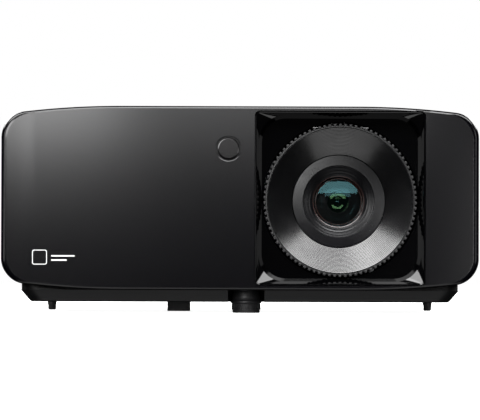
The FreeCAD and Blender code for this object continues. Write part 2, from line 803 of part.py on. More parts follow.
def fan_frame(sign):
    x, y = fan_place(sign)
    half, thick = fan_size / 2, fan_thick / 2
    frame = block(x - thick, x + thick, y - half, y + half, fan_height - half, fan_height + half)
    frame = frame.cut(rod_x(fan_bore, x - thick - 1, x + thick + 1, y, fan_height))
    inner = x + sign * (thick - 3)
    x0, x1 = sorted((inner, x + sign * thick))
    hub = rod_x(fan_hub, x0, x1, y, fan_height)
    struts = [block(x0, x1, y - fan_bore - 1, y + fan_bore + 1, fan_height - 1.5, fan_height + 1.5),
              block(x0, x1, y - 1.5, y + 1.5, fan_height - fan_bore - 1, fan_height + fan_bore + 1)]
    p0, p1 = sorted((x - sign * 6, x0 if sign > 0 else x1))
    pin = rod_x(1.5, p0, p1, y, fan_height)
    holes = [rod_x(2.1, x - thick - 1, x + thick + 1, y + sy * (half - 4.5), fan_height + sz * (half - 4.5))
             for sy in (-1, 1) for sz in (-1, 1)]
    return cut(joined([frame, hub, pin] + struts), holes)


def fan_rotor(sign):
    x, y = fan_place(sign)
    thick = fan_thick / 2
    r0, r1 = sorted((x - sign * (thick - 1), x + sign * (thick - 4)))
    hub = rod_x(fan_hub + 1.5, r0, r1, y, fan_height)
    centre = Vector((r0 + r1) / 2, y, fan_height)
    length = r1 - r0
    blades = []
    for i in range(fan_blades):
        corner = Vector(-length * 0.625, -0.7, fan_hub)
        blade = Part.makeBox(length * 1.25, 1.4, blade_reach - fan_hub, corner)
        blade.rotate(Vector(0, 0, 0), Vector(0, 0, 1), 35)
        blade.rotate(Vector(0, 0, 0), Vector(1, 0, 0), 360 * i / fan_blades)
        blade.translate(centre)
        blades.append(blade)
    rotor = joined([hub] + blades).common(rod_x(blade_reach, r0, r1, y, fan_height))
    return rotor.cut(rod_x(1.5 + stem_gap, r0 - 1, r1 + 1, y, fan_height))


# ---- boards, sockets, sound ----
def sockets():
    """(node, x, width, height, cavity width, cavity height)"""
    return [("hdmi_sockets", 92, 15.5, 6.4, 14, 4.6), ("hdmi_sockets", 72, 15.5, 6.4, 14, 4.6),
            ("usb_socket", 52, 14.5, 7.2, 12.6, 5.2), ("network_socket", 31, 16, 13.6, 12, 8.4),
            ("audio_socket", 12, 8, 8, 3.6, 3.6), ("serial_socket", -20, 31, 12.6, 17, 8.2)]


def socket_block(spec, grow, y0, y1):
    z0 = main_board_z + board_thick
    half = spec[2] / 2 + grow
    return block(spec[1] - half, spec[1] + half, y0, y1, z0 - grow, z0 + spec[3] + grow)


def socket(spec):
    y1 = rear_panel_back + 0.3
    shell = socket_block(spec, 0, y1 - socket_depth, y1)
    x, middle = spec[1], main_board_z + board_thick + spec[3] / 2
    if spec[4] == spec[5]:
        cavity = rod_y(spec[4] / 2, y1 - socket_depth + 2, y1 + 1, x, middle)
        return shell.cut(cavity)
    cavity = block(x - spec[4] / 2, x + spec[4] / 2, y1 - socket_depth + 2, y1 + 1, middle - spec[5] / 2,
                   middle + spec[5] / 2)
    shell = shell.cut(cavity)
    if spec[5] > 7:
        return shell
    tongue = block(x - spec[4] / 2 + 1.5, x + spec[4] / 2 - 1.5, y1 - socket_depth + 1, y1 - 2, middle - 0.6,
                   middle + 0.6)
    return joined([shell, tongue])


def socket_group(node):
    shapes = [socket(spec) for spec in sockets() if spec[0] == node]
    return shapes[0] if len(shapes) == 1 else Part.makeCompound(shapes)


def ac_inlet():
    """Mains inlet with three blades set back in its cavity."""
    y1 = rear_panel_back + 0.3
    y0 = y1 - 22
    shell = block(inlet_x - inlet_width / 2, inlet_x + inlet_width / 2, y0, y1, inlet_z - inlet_height / 2,
                  inlet_z + inlet_height / 2)
    cavity = block(inlet_x - inlet_width / 2 + 1.6, inlet_x + inlet_width / 2 - 1.6, y0 + 4, y1 + 1,
                   inlet_z - inlet_height / 2 + 1.6, inlet_z + inlet_height / 2 - 1.6)
    blades = [block(inlet_x + dx - 1, inlet_x + dx + 1, y0 + 3, y1 - 6, inlet_z + dz - 2, inlet_z + dz + 2)
              for dx, dz in ((-7, -2), (0, 2), (7, -2))]
    return joined([shell.cut(cavity)] + blades)


def main_board_posts():
    return [(main_left + 4, main_front + 4), (main_right - 4, main_front + 4), (main_right - 4, main_rear - 5)]


def power_board_posts():
    return [(x, y) for x in (power_left + 4, power_right - 4) for y in (power_front + 4, power_rear - 4)]


def main_board():
    board = block(main_left, main_right, main_front, main_rear, main_board_z, main_board_z + board_thick)
    z0 = main_board_z + board_thick - 0.1
    chips = [block(x - w / 2, x + w / 2, y - w / 2, y + w / 2, z0, z0 + h)
             for x, y, w, h in ((20, 66, 26, 2.5), (60, 62, 20, 2.0), (-20, 60, 16, 1.8), (84, 62, 12, 1.8))]
    return joined([board] + chips)


def power_supply_board():
    board = block(power_left, power_right, power_front, power_rear, power_board_z, power_board_z + board_thick)
    z0 = power_board_z + board_thick - 0.1
    capacitors = [rod_z(9, z0, z0 + 26, power_left + 16 + i * 20, power_front + 14) for i in range(2)]
    transformer = block(power_right - 56, power_right - 22, power_front + 8, power_front + 40, z0, z0 + 26)
    choke = block(power_left + 50, power_left + 62, power_front + 30, power_front + 50, z0, z0 + 18)
    sink = block(power_right - 16, power_right - 12, power_front + 6, power_front + 50, z0, z0 + 28)
    return joined([board] + capacitors + [transformer, choke, sink])


def speaker():
    x0 = -side_in + 4
    box = block(x0 + 4, x0 + 40, -72, -36, 26, 92)
    cone = rod_x(15, x0 + 1, x0 + 5, -54, 60)
    dish = Part.makeCone(13, 6, 5, Vector(x0 + 0.9, -54, 60), Vector(1, 0, 0))
    return joined([box, cone]).cut(dish)


# ---- feet and fastenings ----
def front_foot_knob():
    """Thumb knob with a screwed stem; eight grip notches around its lower part."""
    knob = turned_up([(0, foot_pad_height), (foot_pad_radius + 0.1, foot_pad_height),
                      (foot_knob_waist, base_height - 0.8),
                      (foot_flange, base_height - 0.2), (foot_flange, base_height + 0.5),
                      (foot_knob_waist, base_height + 1.1), (foot_knob_top, floor_gap - 0.1),
                      (stem_radius, floor_gap - 0.1), (stem_radius, stem_top), (0, stem_top)], foot_x, foot_y)
    notches = []
    for i in range(8):
        turn = math.radians(45 * i - 8)
        x = foot_x + foot_knob_waist * math.cos(turn)
        y = foot_y + foot_knob_waist * math.sin(turn)
        notches.append(rod_z(0.9, foot_pad_height - 1, base_height - 0.8, x, y))
    return cut(knob, notches)


def front_foot_pad():
    pad = rod_z(foot_pad_radius, 0, foot_pad_height, foot_x, foot_y)
    return pad.makeFillet(0.9, [e for e in pad.Edges if e.BoundBox.ZMax < 0.01])


def rear_foot_screw(sign):
    x = sign * rear_foot_x
    return joined([rod_z(rear_stem_radius, rear_tip_height, rear_stem_top - 1, x, rear_foot_y),
                   rod_z(rear_collar_radius, rear_tip_height, base_height - 0.5, x, rear_foot_y)])


def rear_foot_tip(sign):
    tip = rod_z(rear_tip_radius, 0, rear_tip_height, sign * rear_foot_x, rear_foot_y)
    return tip.makeFillet(1.0, [e for e in tip.Edges if e.BoundBox.ZMax < 0.01])


def security_bar():
    bar = block(bar_x - bar_width / 2, bar_x + bar_width / 2,
                bar_y - bar_half_length, bar_y + bar_half_length, bar_bottom, base_height)
    slot = block(bar_x - bar_width, bar_x + bar_width,
                 bar_y - bar_slot_half, bar_y + bar_slot_half, bar_bottom + bar_thick, base_height - 0.01)
    bar = bar.cut(slot)
    return bar.makeFillet(0.5, [e for e in bar.Edges if e.BoundBox.ZMax < bar_bottom + 0.01])


def insert_places():
    return [(sx * mount_half_x, sy * mount_half_y) for sx in (-1, 1) for sy in (-1, 1)]


def mount_inserts():
    sleeves = [rod_z(insert_radius, base_height, base_height + insert_length, x, y)
               .cut(rod_z(insert_bore, 0, base_height + insert_length + 1, x, y)) for x, y in insert_places()]
    return Part.makeCompound(sleeves)


def case_screws():
    screws = []
    for x, y in post_places():
        head = rod_z(screw_head, base_height + 0.4, base_height + 2.0, x, y)
        shank = rod_z(screw_radius, base_height + 1.5, split_height + 12, x, y)
        socket_hole = rod_z(1.1, base_height - 1, base_height + 1.5, x, y)
        screws.append(joined([head, shank]).cut(socket_hole))
    return Part.makeCompound(screws)


def build():
    os.makedirs("parts", exist_ok=True)
    save("front_panel", front_panel())
    save("lens_bay", lens_bay())
    save("top_cover", top_cover())
    save("base_case", base_case())
    save("rear_panel", rear_panel())
    save("left_vent_grille", vent_grille(-1))
    save("right_vent_grille", vent_grille(1))
    save("ir_window", ir_window())
    save("ir_receiver_board", ir_receiver_board())
    save("keypad_board", keypad_board())
    save("status_light_pipes", status_light_pipes())
    for spec in keys():
        save(spec[0], key(spec))
    save("focus_ring", focus_ring())
    save("focus_ring_baffle", focus_ring_baffle())
    save("focus_lens_cell", focus_lens_cell())
    save("front_lens", front_lens())
    save("lens_barrel", lens_barrel())
    save("rear_lens_elements", rear_lens_elements())
    save("zoom_ring", zoom_ring())
    save("zoom_lens_cell", zoom_lens_cell())
    save("engine_housing", engine_housing())
    save("illumination_lenses", illumination_lenses())
    save("light_tunnel", light_tunnel())
    save("prism", prism())
    save("imaging_chip", imaging_chip())
    save("imaging_chip_board", imaging_chip_board())
    save("imaging_chip_heat_sink", imaging_chip_heat_sink())
    save("phosphor_wheel_motor", phosphor_wheel_motor())
    save("phosphor_wheel", phosphor_wheel())
    save("laser_module", laser_module())
    save("laser_heat_sink", laser_heat_sink())
    save("heat_pipes", heat_pipes())
    for sign, name in ((-1, "intake_fan"), (1, "exhaust_fan")):
        save(name + "_frame", fan_frame(sign))
        save(name + "_rotor", fan_rotor(sign))
    save("main_board", main_board())
    save("power_supply_board", power_supply_board())
    for node in dict.fromkeys(spec[0] for spec in sockets()):
        save(node, socket_group(node))
    save("ac_inlet", ac_inlet())
    save("speaker", speaker())
    save("front_foot_knob", front_foot_knob())
    save("front_foot_pad", front_foot_pad())
    for sign, side in ((-1, "left"), (1, "right")):
        save("rear_foot_" + side + "_screw", rear_foot_screw(sign))
        save("rear_foot_" + side + "_tip", rear_foot_tip(sign))
    save("security_bar", security_bar())
    save("mount_inserts", mount_inserts())
    save("case_screws", case_screws())


build()
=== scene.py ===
# %% [markdown]
# # A home projector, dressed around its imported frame
#
# The frame gives every working part at its real size and place. This lesson rebuilds the pieces that a
# person sees as finished meshes, gives each one a moulded, turned or cast finish, and lights the whole
# like a catalogue picture. All numbers are metres, and `mm` keeps them readable.

# %% Load the frame
import json
import math

import bmesh
import bpy
from mathutils import Matrix, Vector

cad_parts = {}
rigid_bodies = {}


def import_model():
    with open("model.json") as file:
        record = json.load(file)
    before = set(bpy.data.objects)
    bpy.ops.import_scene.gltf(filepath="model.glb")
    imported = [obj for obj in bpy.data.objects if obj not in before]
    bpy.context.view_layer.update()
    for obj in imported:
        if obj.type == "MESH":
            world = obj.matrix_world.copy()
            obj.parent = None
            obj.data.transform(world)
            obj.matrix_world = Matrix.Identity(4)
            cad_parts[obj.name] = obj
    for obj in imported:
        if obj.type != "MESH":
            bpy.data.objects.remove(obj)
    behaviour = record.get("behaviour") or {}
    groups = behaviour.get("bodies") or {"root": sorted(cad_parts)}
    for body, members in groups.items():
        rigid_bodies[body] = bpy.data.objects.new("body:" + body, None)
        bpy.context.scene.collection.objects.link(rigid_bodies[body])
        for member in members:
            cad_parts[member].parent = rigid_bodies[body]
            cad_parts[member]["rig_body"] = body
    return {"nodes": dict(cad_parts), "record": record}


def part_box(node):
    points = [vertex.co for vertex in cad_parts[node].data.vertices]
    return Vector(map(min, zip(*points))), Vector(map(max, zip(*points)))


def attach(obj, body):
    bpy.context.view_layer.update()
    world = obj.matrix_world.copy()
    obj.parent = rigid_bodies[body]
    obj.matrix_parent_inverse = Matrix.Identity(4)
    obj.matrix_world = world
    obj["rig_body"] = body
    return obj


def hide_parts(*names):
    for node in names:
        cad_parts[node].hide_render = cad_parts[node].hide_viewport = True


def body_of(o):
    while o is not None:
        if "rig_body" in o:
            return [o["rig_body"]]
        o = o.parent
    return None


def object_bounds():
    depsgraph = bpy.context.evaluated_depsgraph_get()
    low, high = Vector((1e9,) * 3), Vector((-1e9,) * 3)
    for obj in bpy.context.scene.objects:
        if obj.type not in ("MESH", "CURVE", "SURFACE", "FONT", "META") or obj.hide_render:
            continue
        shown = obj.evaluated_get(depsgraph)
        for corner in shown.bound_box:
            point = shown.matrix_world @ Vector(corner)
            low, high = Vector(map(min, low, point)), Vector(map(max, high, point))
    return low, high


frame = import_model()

mm = 0.001
cad_low, cad_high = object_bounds()
print("frame box:", [round(c / mm, 1) for c in (*cad_low, *cad_high)])

# %% [markdown]
# ## Bench tools
#
# Blender's operators act on whatever is selected, and the frame arrives selected. So each piece begins by
# letting go of everything, and each step picks its own faces or edges by where they lie. The helpers below
# do only that: they pick, extrude, scale and weld. They could be replaced by clicks in the window.


# %% Selecting and settling
def let_go():
    """Leaves edit mode and deselects everything."""
    if bpy.context.object and bpy.context.object.mode == "EDIT":
        bpy.ops.object.mode_set(mode="OBJECT")
    bpy.ops.object.select_all(action="DESELECT")


def take(piece):
    let_go()
    piece.select_set(True)
    bpy.context.view_layer.objects.active = piece


def edit_all(piece):
    take(piece)
    bpy.ops.object.mode_set(mode="EDIT")
    bpy.ops.mesh.select_all(action="SELECT")


def pick_faces(piece, test):
    """In edit mode, selects the faces whose centre and normal pass the test."""
    bpy.ops.mesh.select_mode(type="FACE")
    bpy.ops.mesh.select_all(action="DESELECT")
    cage = bmesh.from_edit_mesh(piece.data)
    for face in cage.faces:
        face.select = test(face.calc_center_median(), face.normal)
    cage.select_flush_mode()
    bmesh.update_edit_mesh(piece.data)


def pick_points(piece, test):
    bpy.ops.mesh.select_mode(type="VERT")
    bpy.ops.mesh.select_all(action="DESELECT")
    cage = bmesh.from_edit_mesh(piece.data)
    for point in cage.verts:
        point.select = test(point.co)
    cage.select_flush_mode()
    bmesh.update_edit_mesh(piece.data)


def settle(piece, name, smooth=35, weld=1e-6):
    """Welds doubles, turns faces outwards, and shades round what turns less than `smooth` degrees."""
    edit_all(piece)
    bpy.ops.mesh.remove_doubles(threshold=weld)
    bpy.ops.mesh.normals_make_consistent(inside=False)
    take(piece)
    bpy.ops.object.transform_apply(location=True, rotation=True, scale=True)
    bpy.ops.object.shade_smooth_by_angle(angle=math.radians(smooth))
    even = piece.modifiers.new("even", "WEIGHTED_NORMAL")
    even.keep_sharp = True
    bpy.ops.object.modifier_apply(modifier=even.name)
    piece.name = piece.data.name = name
    return piece


def carve(piece, cutters):
    """Takes the cutters out of the piece, and removes them."""
    for cutter in cutters:
        cut = piece.modifiers.new("cut", "BOOLEAN")
        cut.operation, cut.solver, cut.object = "DIFFERENCE", "EXACT", cutter
        take(piece)
        bpy.ops.object.modifier_apply(modifier=cut.name)
        bpy.data.objects.remove(cutter)
    return piece


def soften(piece, width, segments=2, angle=40):
    """Rounds the sharp edges, as a mould's edges are."""
    bevel = piece.modifiers.new("soften", "BEVEL")
    bevel.width, bevel.segments, bevel.limit_method = width, segments, "ANGLE"
    bevel.angle_limit = math.radians(angle)
    bevel.use_clamp_overlap = True
    take(piece)
    bpy.ops.object.modifier_apply(modifier=bevel.name)
    return piece


def merge(pieces, name):
    let_go()
    for piece in pieces:
        piece.select_set(True)
    bpy.context.view_layer.objects.active = pieces[0]
    bpy.ops.object.join()
    pieces[0].name = pieces[0].data.name = name
    return pieces[0]


# %% [markdown]
# A turned piece, such as a lens ring, could be a profile that is spun. Growing it ring by ring is as exact
# and leaves clean loops: a circle is extruded a little way along its axis, scaled to the next radius, and
# so on. A rounded plate is a plane whose corners are bevelled, then extruded.


# %% Turned pieces and rounded blocks
def ring_by_ring(name, profile, centre, steps=128, axis="Y", smooth=35):
    """profile is a list of (radius, place along the axis); a radius of 0 closes the end."""
    along = Vector((0, 1, 0)) if axis == "Y" else Vector((0, 0, 1)) if axis == "Z" else Vector((1, 0, 0))
    lay = {"Y": (math.pi / 2, 0, 0), "Z": (0, 0, 0), "X": (0, math.pi / 2, 0)}[axis]
    base = Vector(centre) - along * along.dot(Vector(centre))
    tiny = 0.05 * mm
    radius, place = max(profile[0][0], tiny), profile[0][1]
    let_go()
    bpy.ops.mesh.primitive_circle_add(vertices=steps, radius=radius, location=base + along * place,
                                      rotation=lay)
    piece = bpy.context.object
    bpy.ops.object.transform_apply(location=True, rotation=True, scale=True)
    edit_all(piece)
    for next_radius, next_place in profile[1:]:
        next_radius = max(next_radius, tiny)
        bpy.ops.mesh.extrude_edges_move(TRANSFORM_OT_translate={"value": along * (next_place - place)})
        grow = next_radius / radius
        scale = [1.0 if along[i] else grow for i in range(3)]
        bpy.ops.transform.resize(value=scale, center_override=base + along * next_place)
        radius, place = next_radius, next_place
    bpy.ops.mesh.select_all(action="SELECT")
    bpy.ops.mesh.remove_doubles(threshold=1e-6)
    bpy.ops.mesh.select_all(action="SELECT")
    bpy.ops.mesh.fill_holes(sides=0)
    return settle(piece, name, smooth)


def closed(profile):
    return list(profile) + [profile[0]]


def rounded_block(name, low, high, radius, axis="Z", segments=6):
    """A block with its corners rounded when seen along the axis."""
    low, high = Vector(low), Vector(high)
    size, centre = high - low, (low + high) / 2
    turn = {"Z": (0, 0, 0), "Y": (math.pi / 2, 0, 0), "X": (0, math.pi / 2, 0)}[axis]
    flat = {"Z": (size.x, size.y), "Y": (size.x, size.z), "X": (size.z, size.y)}[axis]
    step = {"Z": Vector((0, 0, size.z)), "Y": Vector((0, size.y, 0)), "X": Vector((size.x, 0, 0))}[axis]
    let_go()
    bpy.ops.mesh.primitive_plane_add(size=1, location=centre - step / 2, rotation=turn)
    piece = bpy.context.object
    piece.scale = (flat[0], flat[1], 1)
    bpy.ops.object.transform_apply(location=True, rotation=True, scale=True)
    edit_all(piece)
    if radius:
        bpy.ops.mesh.bevel(offset=radius, segments=segments, affect="VERTICES", offset_type="OFFSET")
        bpy.ops.mesh.select_all(action="SELECT")
    bpy.ops.mesh.extrude_region_move(TRANSFORM_OT_translate={"value": step})
    return settle(piece, name)


# %% [markdown]
# ## Finishes
#
# Moulded black plastic is never one flat black. The tool that shapes it leaves a spark texture, handling
# leaves faint cloudy patches in the gloss, and colour varies by a hair. Each finish here mixes those three
# at its own scale. Everything is read from Object coordinates, so the pattern stays on the piece.


# %% Finish builder
def finish(name, colour, roughness, spread=0.08, grain=1800.0, bump=0.05, cloud=25.0, metallic=0.0,
           coat=0.0, tint=0.25, stretch=(1, 1, 1), gleam=0.5):
    """A procedural surface: base colour with faint clouds, a roughness that varies, and a fine grain."""
    mat = bpy.data.materials.new(name)
    mat.use_nodes = True
    nodes, links = mat.node_tree.nodes, mat.node_tree.links
    shader = nodes["Principled BSDF"]
    shader.inputs["Metallic"].default_value = metallic
    shader.inputs["Coat Weight"].default_value = coat
    shader.inputs["Coat Roughness"].default_value = 0.08
    shader.inputs["Specular IOR Level"].default_value = gleam
    where = nodes.new("ShaderNodeTexCoord")
    lay = nodes.new("ShaderNodeMapping")
    lay.inputs["Scale"].default_value = stretch
    links.new(where.outputs["Object"], lay.inputs["Vector"])
    clouds = nodes.new("ShaderNodeTexNoise")
    clouds.inputs["Scale"].default_value = cloud
    clouds.inputs["Detail"].default_value = 5
    fine = nodes.new("ShaderNodeTexNoise")
    fine.inputs["Scale"].default_value = grain
    fine.inputs["Detail"].default_value = 2
    for noise in (clouds, fine):
        links.new(lay.outputs["Vector"], noise.inputs["Vector"])
    shade = nodes.new("ShaderNodeMix")
    shade.data_type = "RGBA"
    shade.inputs[6].default_value = (*[c * (1 - tint) for c in colour], 1)
    shade.inputs[7].default_value = (*[min(1, c * (1 + tint)) for c in colour], 1)
    links.new(clouds.outputs["Fac"], shade.inputs[0])
    links.new(shade.outputs[2], shader.inputs["Base Color"])
    rough = nodes.new("ShaderNodeMapRange")
    rough.inputs["From Min"].default_value = 0.3
    rough.inputs["From Max"].default_value = 0.7
    rough.inputs["To Min"].default_value = max(0.0, roughness - spread)
    rough.inputs["To Max"].default_value = roughness + spread
    links.new(clouds.outputs["Fac"], rough.inputs["Value"])
    links.new(rough.outputs["Result"], shader.inputs["Roughness"])
    relief = nodes.new("ShaderNodeBump")
    relief.inputs["Strength"].default_value = bump
    relief.inputs["Distance"].default_value = 0.0002
    links.new(fine.outputs["Fac"], relief.inputs["Height"])
    links.new(relief.outputs["Normal"], shader.inputs["Normal"])
    return mat


def glassy(name, colour, roughness, ior, coat=0.0):
    """Clear or tinted glass with a faint unevenness, so it doesn't look computed."""
    mat = finish(name, colour, roughness, spread=roughness * 0.5, grain=60.0, bump=0.01, tint=0.05)
    shader = mat.node_tree.nodes["Principled BSDF"]
    shader.inputs["Transmission Weight"].default_value = 1.0
    shader.inputs["IOR"].default_value = ior
    shader.inputs["Coat Weight"].default_value = coat
    return mat


# %% The projector's finishes
paint = {
    "panel": finish("satin_front", (0.0003, 0.0002, 0.0008), 0.13, 0.005, 900, 0.003, 6),
    "housing": finish("spark_textured_case", (0.0042, 0.0042, 0.0046), 0.42, 0.04, 1500, 0.14, 22, gleam=0.3),
    "bay": finish("piano_black_bay", (0.0006, 0.0006, 0.0008), 0.07, 0.01, 900, 0.002, 12),
    "ring": finish("matt_grip", (0.006, 0.006, 0.0064), 0.42, 0.05, 2200, 0.12, 60),
    "baffle": finish("ribbed_black", (0.002, 0.002, 0.0024), 0.22, 0.03, 2600, 0.03, 90, gleam=1.0),
    "cell": finish("black_anodised", (0.003, 0.003, 0.004), 0.25, 0.03, 3000, 0.04, 120, gleam=0.35),
    "ir": finish("smoked_filter", (0.0014, 0.0010, 0.0013), 0.13, 0.01, 1800, 0.005, 60),
    "cast": finish("cast_aluminium", (0.42, 0.43, 0.44), 0.5, 0.12, 700, 0.4, 60, metallic=0.9),
    "copper": finish("bare_copper", (0.72, 0.36, 0.22), 0.3, 0.1, 600, 0.1, 50, metallic=1.0),
    "fins": finish("rolled_fins", (0.7, 0.71, 0.72), 0.28, 0.08, 900, 0.15, 60, metallic=1.0,
                   stretch=(1, 1, 14)),
    "steel": finish("plated_steel", (0.55, 0.55, 0.56), 0.26, 0.08, 900, 0.08, 70, metallic=1.0,
                    stretch=(6, 1, 1)),
    "brass": finish("turned_brass", (0.66, 0.48, 0.2), 0.25, 0.08, 800, 0.1, 80, metallic=1.0),
    "rubber": finish("soft_rubber", (0.014, 0.014, 0.015), 0.7, 0.08, 1600, 0.4, 70),
    "black": finish("moulded_black", (0.014, 0.014, 0.015), 0.42, 0.07, 1500, 0.2, 50),
    "key": finish("soft_key", (0.017, 0.017, 0.019), 0.5, 0.05, 2400, 0.12, 90),
    "pipe": finish("frosted_pipe", (0.55, 0.6, 0.62), 0.3, 0.06, 900, 0.05, 90),
    "phosphor": finish("phosphor_coat", (0.8, 0.62, 0.08), 0.6, 0.1, 500, 0.3, 90),
    "board": finish("solder_mask", (0.01, 0.075, 0.03), 0.3, 0.08, 320, 0.5, 160, tint=0.6),
    "print": finish("pad_print", (0.82, 0.82, 0.82), 0.45, 0.05, 1200, 0.05, 200, tint=0.04),
}
paint["glass"] = glassy("clear_lens", (0.86, 0.95, 0.93), 0.01, 1.5)
print("finishes:", ", ".join(sorted(paint)))


def wear(piece, slot):
    """Gives a piece one finish, in a single material slot."""
    piece.data.materials.clear()
    piece.data.materials.append(paint[slot])
    return piece


# %% [markdown]
# The inner parts that show through the vents and the lens keep the shapes the frame gives them. Only the
# material in each object's slot changes.

# %% Finish the frame's own pieces
slot_of = {part["node"]: part["material_slot"] for part in frame["record"]["subparts"]}
for node, obj in frame["nodes"].items():
    if not obj.material_slots:
        obj.data.materials.append(None)
    for holder in obj.material_slots:
        holder.link = "OBJECT"
        holder.material = paint[slot_of[node]]
print("frame pieces finished:", len(frame["nodes"]))

# %% [markdown]
# ## Camera
#
# The view is a catalogue view: a long lens two metres in front, low, looking very slightly up. A long lens
# keeps the front panel's sides parallel. The width of the picture is set by the panel's own width.

# %% Camera
panel_low, panel_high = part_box("front_panel")
panel_width = panel_high.x - panel_low.x
panel_middle = (panel_low.z + panel_high.z) / 2
camera_reach = 2.0
camera_height = 22 * mm
picture_width = panel_width * 1.0034
aim_height = 59.1 * mm
bpy.ops.object.camera_add()
camera = bpy.context.object
camera.name = "catalogue_camera"
camera.data.sensor_width = 36.0
camera.data.lens = 36.0 * camera_reach / picture_width
camera.location = (0, panel_low.y - camera_reach, camera_height)
look_up = math.atan2(aim_height - camera_height, camera_reach)
lean = math.radians(0.19)
camera.rotation_mode = "QUATERNION"
facing = Matrix.Rotation(math.pi / 2 + look_up, 4, "X") @ Matrix.Rotation(lean, 4, "Z")
camera.rotation_quaternion = facing.to_quaternion()
camera.data.clip_end = 20
bpy.context.scene.camera = camera
print("lens:", round(camera.data.lens, 1), "mm, looking up", round(math.degrees(look_up), 2), "degrees")

# %% [markdown]
# ## The case outline
#
# The front panel, the top cover, the base and the rear panel all share one outline: a low rectangle whose
# top and bottom edges are flat in the middle and fall away gently towards round corners. A plane gets its
# corners bevelled, then it is cut at regular stations so that its long edges can bend, and the bend is a
# circle's own formula.

# %% Outline
crown_flat = 68 * mm
crown_radius = 470 * mm
corner_radius = 13 * mm
shell_inset = 0.6 * mm
wall = 2.4 * mm
half_width = panel_width / 2
half_height = (panel_high.z - panel_low.z) / 2


def crown_fall(x):
    """How far the top edge has fallen at x, on a circle that starts at the end of the flat."""
    return crown_radius - math.sqrt(crown_radius ** 2 - max(0.0, abs(x) - crown_flat) ** 2)


def outline_plane(name, y, inset=0.0, corner_steps=14, stations=13):
    let_go()
    bpy.ops.mesh.primitive_plane_add(size=1, location=(0, y, panel_middle), rotation=(math.pi / 2, 0, 0))
    piece = bpy.context.object
    piece.scale = (2 * (half_width - inset), 2 * (half_height - inset), 1)
    bpy.ops.object.transform_apply(location=True, rotation=True, scale=True)
    edit_all(piece)
    bpy.ops.mesh.bevel(offset=corner_radius - inset, segments=corner_steps, affect="VERTICES",
                       offset_type="OFFSET")
    reach = half_width - corner_radius - crown_flat
    for side in (-1, 1):
        for i in range(stations + 1):
            station = side * (crown_flat + reach * i / stations)
            bpy.ops.mesh.select_all(action="SELECT")
            bpy.ops.mesh.bisect(plane_co=(station, 0, 0), plane_no=(1, 0, 0))
    take(piece)
    for point in piece.data.vertices:
        side = 1 if point.co.z > panel_middle else -1
        point.co.z -= side * crown_fall(point.co.x)
    piece.name = name
    return piece


def push(distance):
    """Extrudes what is selected along the projector's depth."""
    bpy.ops.mesh.extrude_region_move(TRANSFORM_OT_translate={"value": (0, distance, 0)})


def draw_in(width_from, width_to, height_from, height_to, y):
    bpy.ops.transform.resize(value=(width_to / width_from, 1, height_to / height_from),
                             center_override=(0, y, panel_middle))


# %% [markdown]
# ## Front panel
#
# The real panel is one satin moulding with a narrow rolled rim. The rim is wider at the sides than along
# the top, and ends in a hair-thin bright chamfer before the flat face. It could be a bevel modifier, but a
# bevel has one width all round. So the rim is a short series of extrusions, each scaled on its own in width
# and in height, following a quarter ellipse.

# %% Front panel
rim_side, rim_top, rim_depth = 3.0 * mm, 1.15 * mm, 2.2 * mm
rim_steps = 8
chamfer = 0.32 * mm


def roll_rim(piece, y_face, direction=-1):
    """From the selected outline, turns the edge over to the flat face at y_face."""
    width, height = half_width, half_height
    y_start = y_face - direction * rim_depth
    y_now = y_start
    for i in range(1, rim_steps + 1):
        turn = math.pi / 2 * i / rim_steps
        new_width = half_width - rim_side * (1 - math.cos(turn))
        new_height = half_height - rim_top * (1 - math.cos(turn))
        y_next = y_start + direction * (rim_depth - 0.12 * mm) * math.sin(turn)
        push(y_next - y_now)
        draw_in(width, new_width, height, new_height, y_next)
        width, height, y_now = new_width, new_height, y_next
    push(y_face - y_now)
    draw_in(width, width - chamfer, height, height - chamfer * 0.6, y_face)


front = outline_plane("front_panel_face", panel_high.y)
edit_all(front)
push(panel_low.y + rim_depth - panel_high.y)
roll_rim(front, panel_low.y)
settle(front, "front_panel_face", smooth=28)
edit_all(front)
pick_faces(front, lambda c, n: n.y > 0.9 and c.y > panel_high.y - 0.1 * mm)
bpy.ops.mesh.inset(thickness=wall)
push(-(panel_high.y - panel_low.y - wall))
settle(front, "front_panel_face", smooth=28)
print("front panel faces:", len(front.data.polygons))

# %% Openings in the front panel
bay_low, bay_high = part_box("lens_bay")
window_low, window_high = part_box("ir_window")
window_centre = (window_low + window_high) / 2
bay_mouth = rounded_block("bay_cutter", (bay_low.x, panel_low.y - 5 * mm, bay_low.z),
                          (bay_high.x, panel_low.y + 8 * mm, bay_high.z), 3 * mm, "Y", 8)
window_radius = 6.35 * mm
window_hole = 7.1 * mm
edge_round = 0.35 * mm
hole_profile = [(0, panel_low.y - 1 * mm), (window_hole + edge_round, panel_low.y - 1 * mm),
                (window_hole + edge_round, panel_low.y),
                (window_hole + edge_round * 0.3, panel_low.y + edge_round * 0.3),
                (window_hole, panel_low.y + edge_round), (window_hole, panel_low.y + 5 * mm),
                (0, panel_low.y + 5 * mm)]
window_cutter = ring_by_ring("window_cutter", hole_profile, window_centre, 96)
carve(front, [bay_mouth, window_cutter])
settle(front, "front_panel_face", smooth=28)
wear(front, "panel")
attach(front, "case")
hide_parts("front_panel")

# %% [markdown]
# ## Sensor window
#
# Behind a round hole sits a smoked disc that lets the remote control's light through. It is a turned disc
# with a softened edge, set back by a fraction of a millimetre so that a dark ring shows around it.

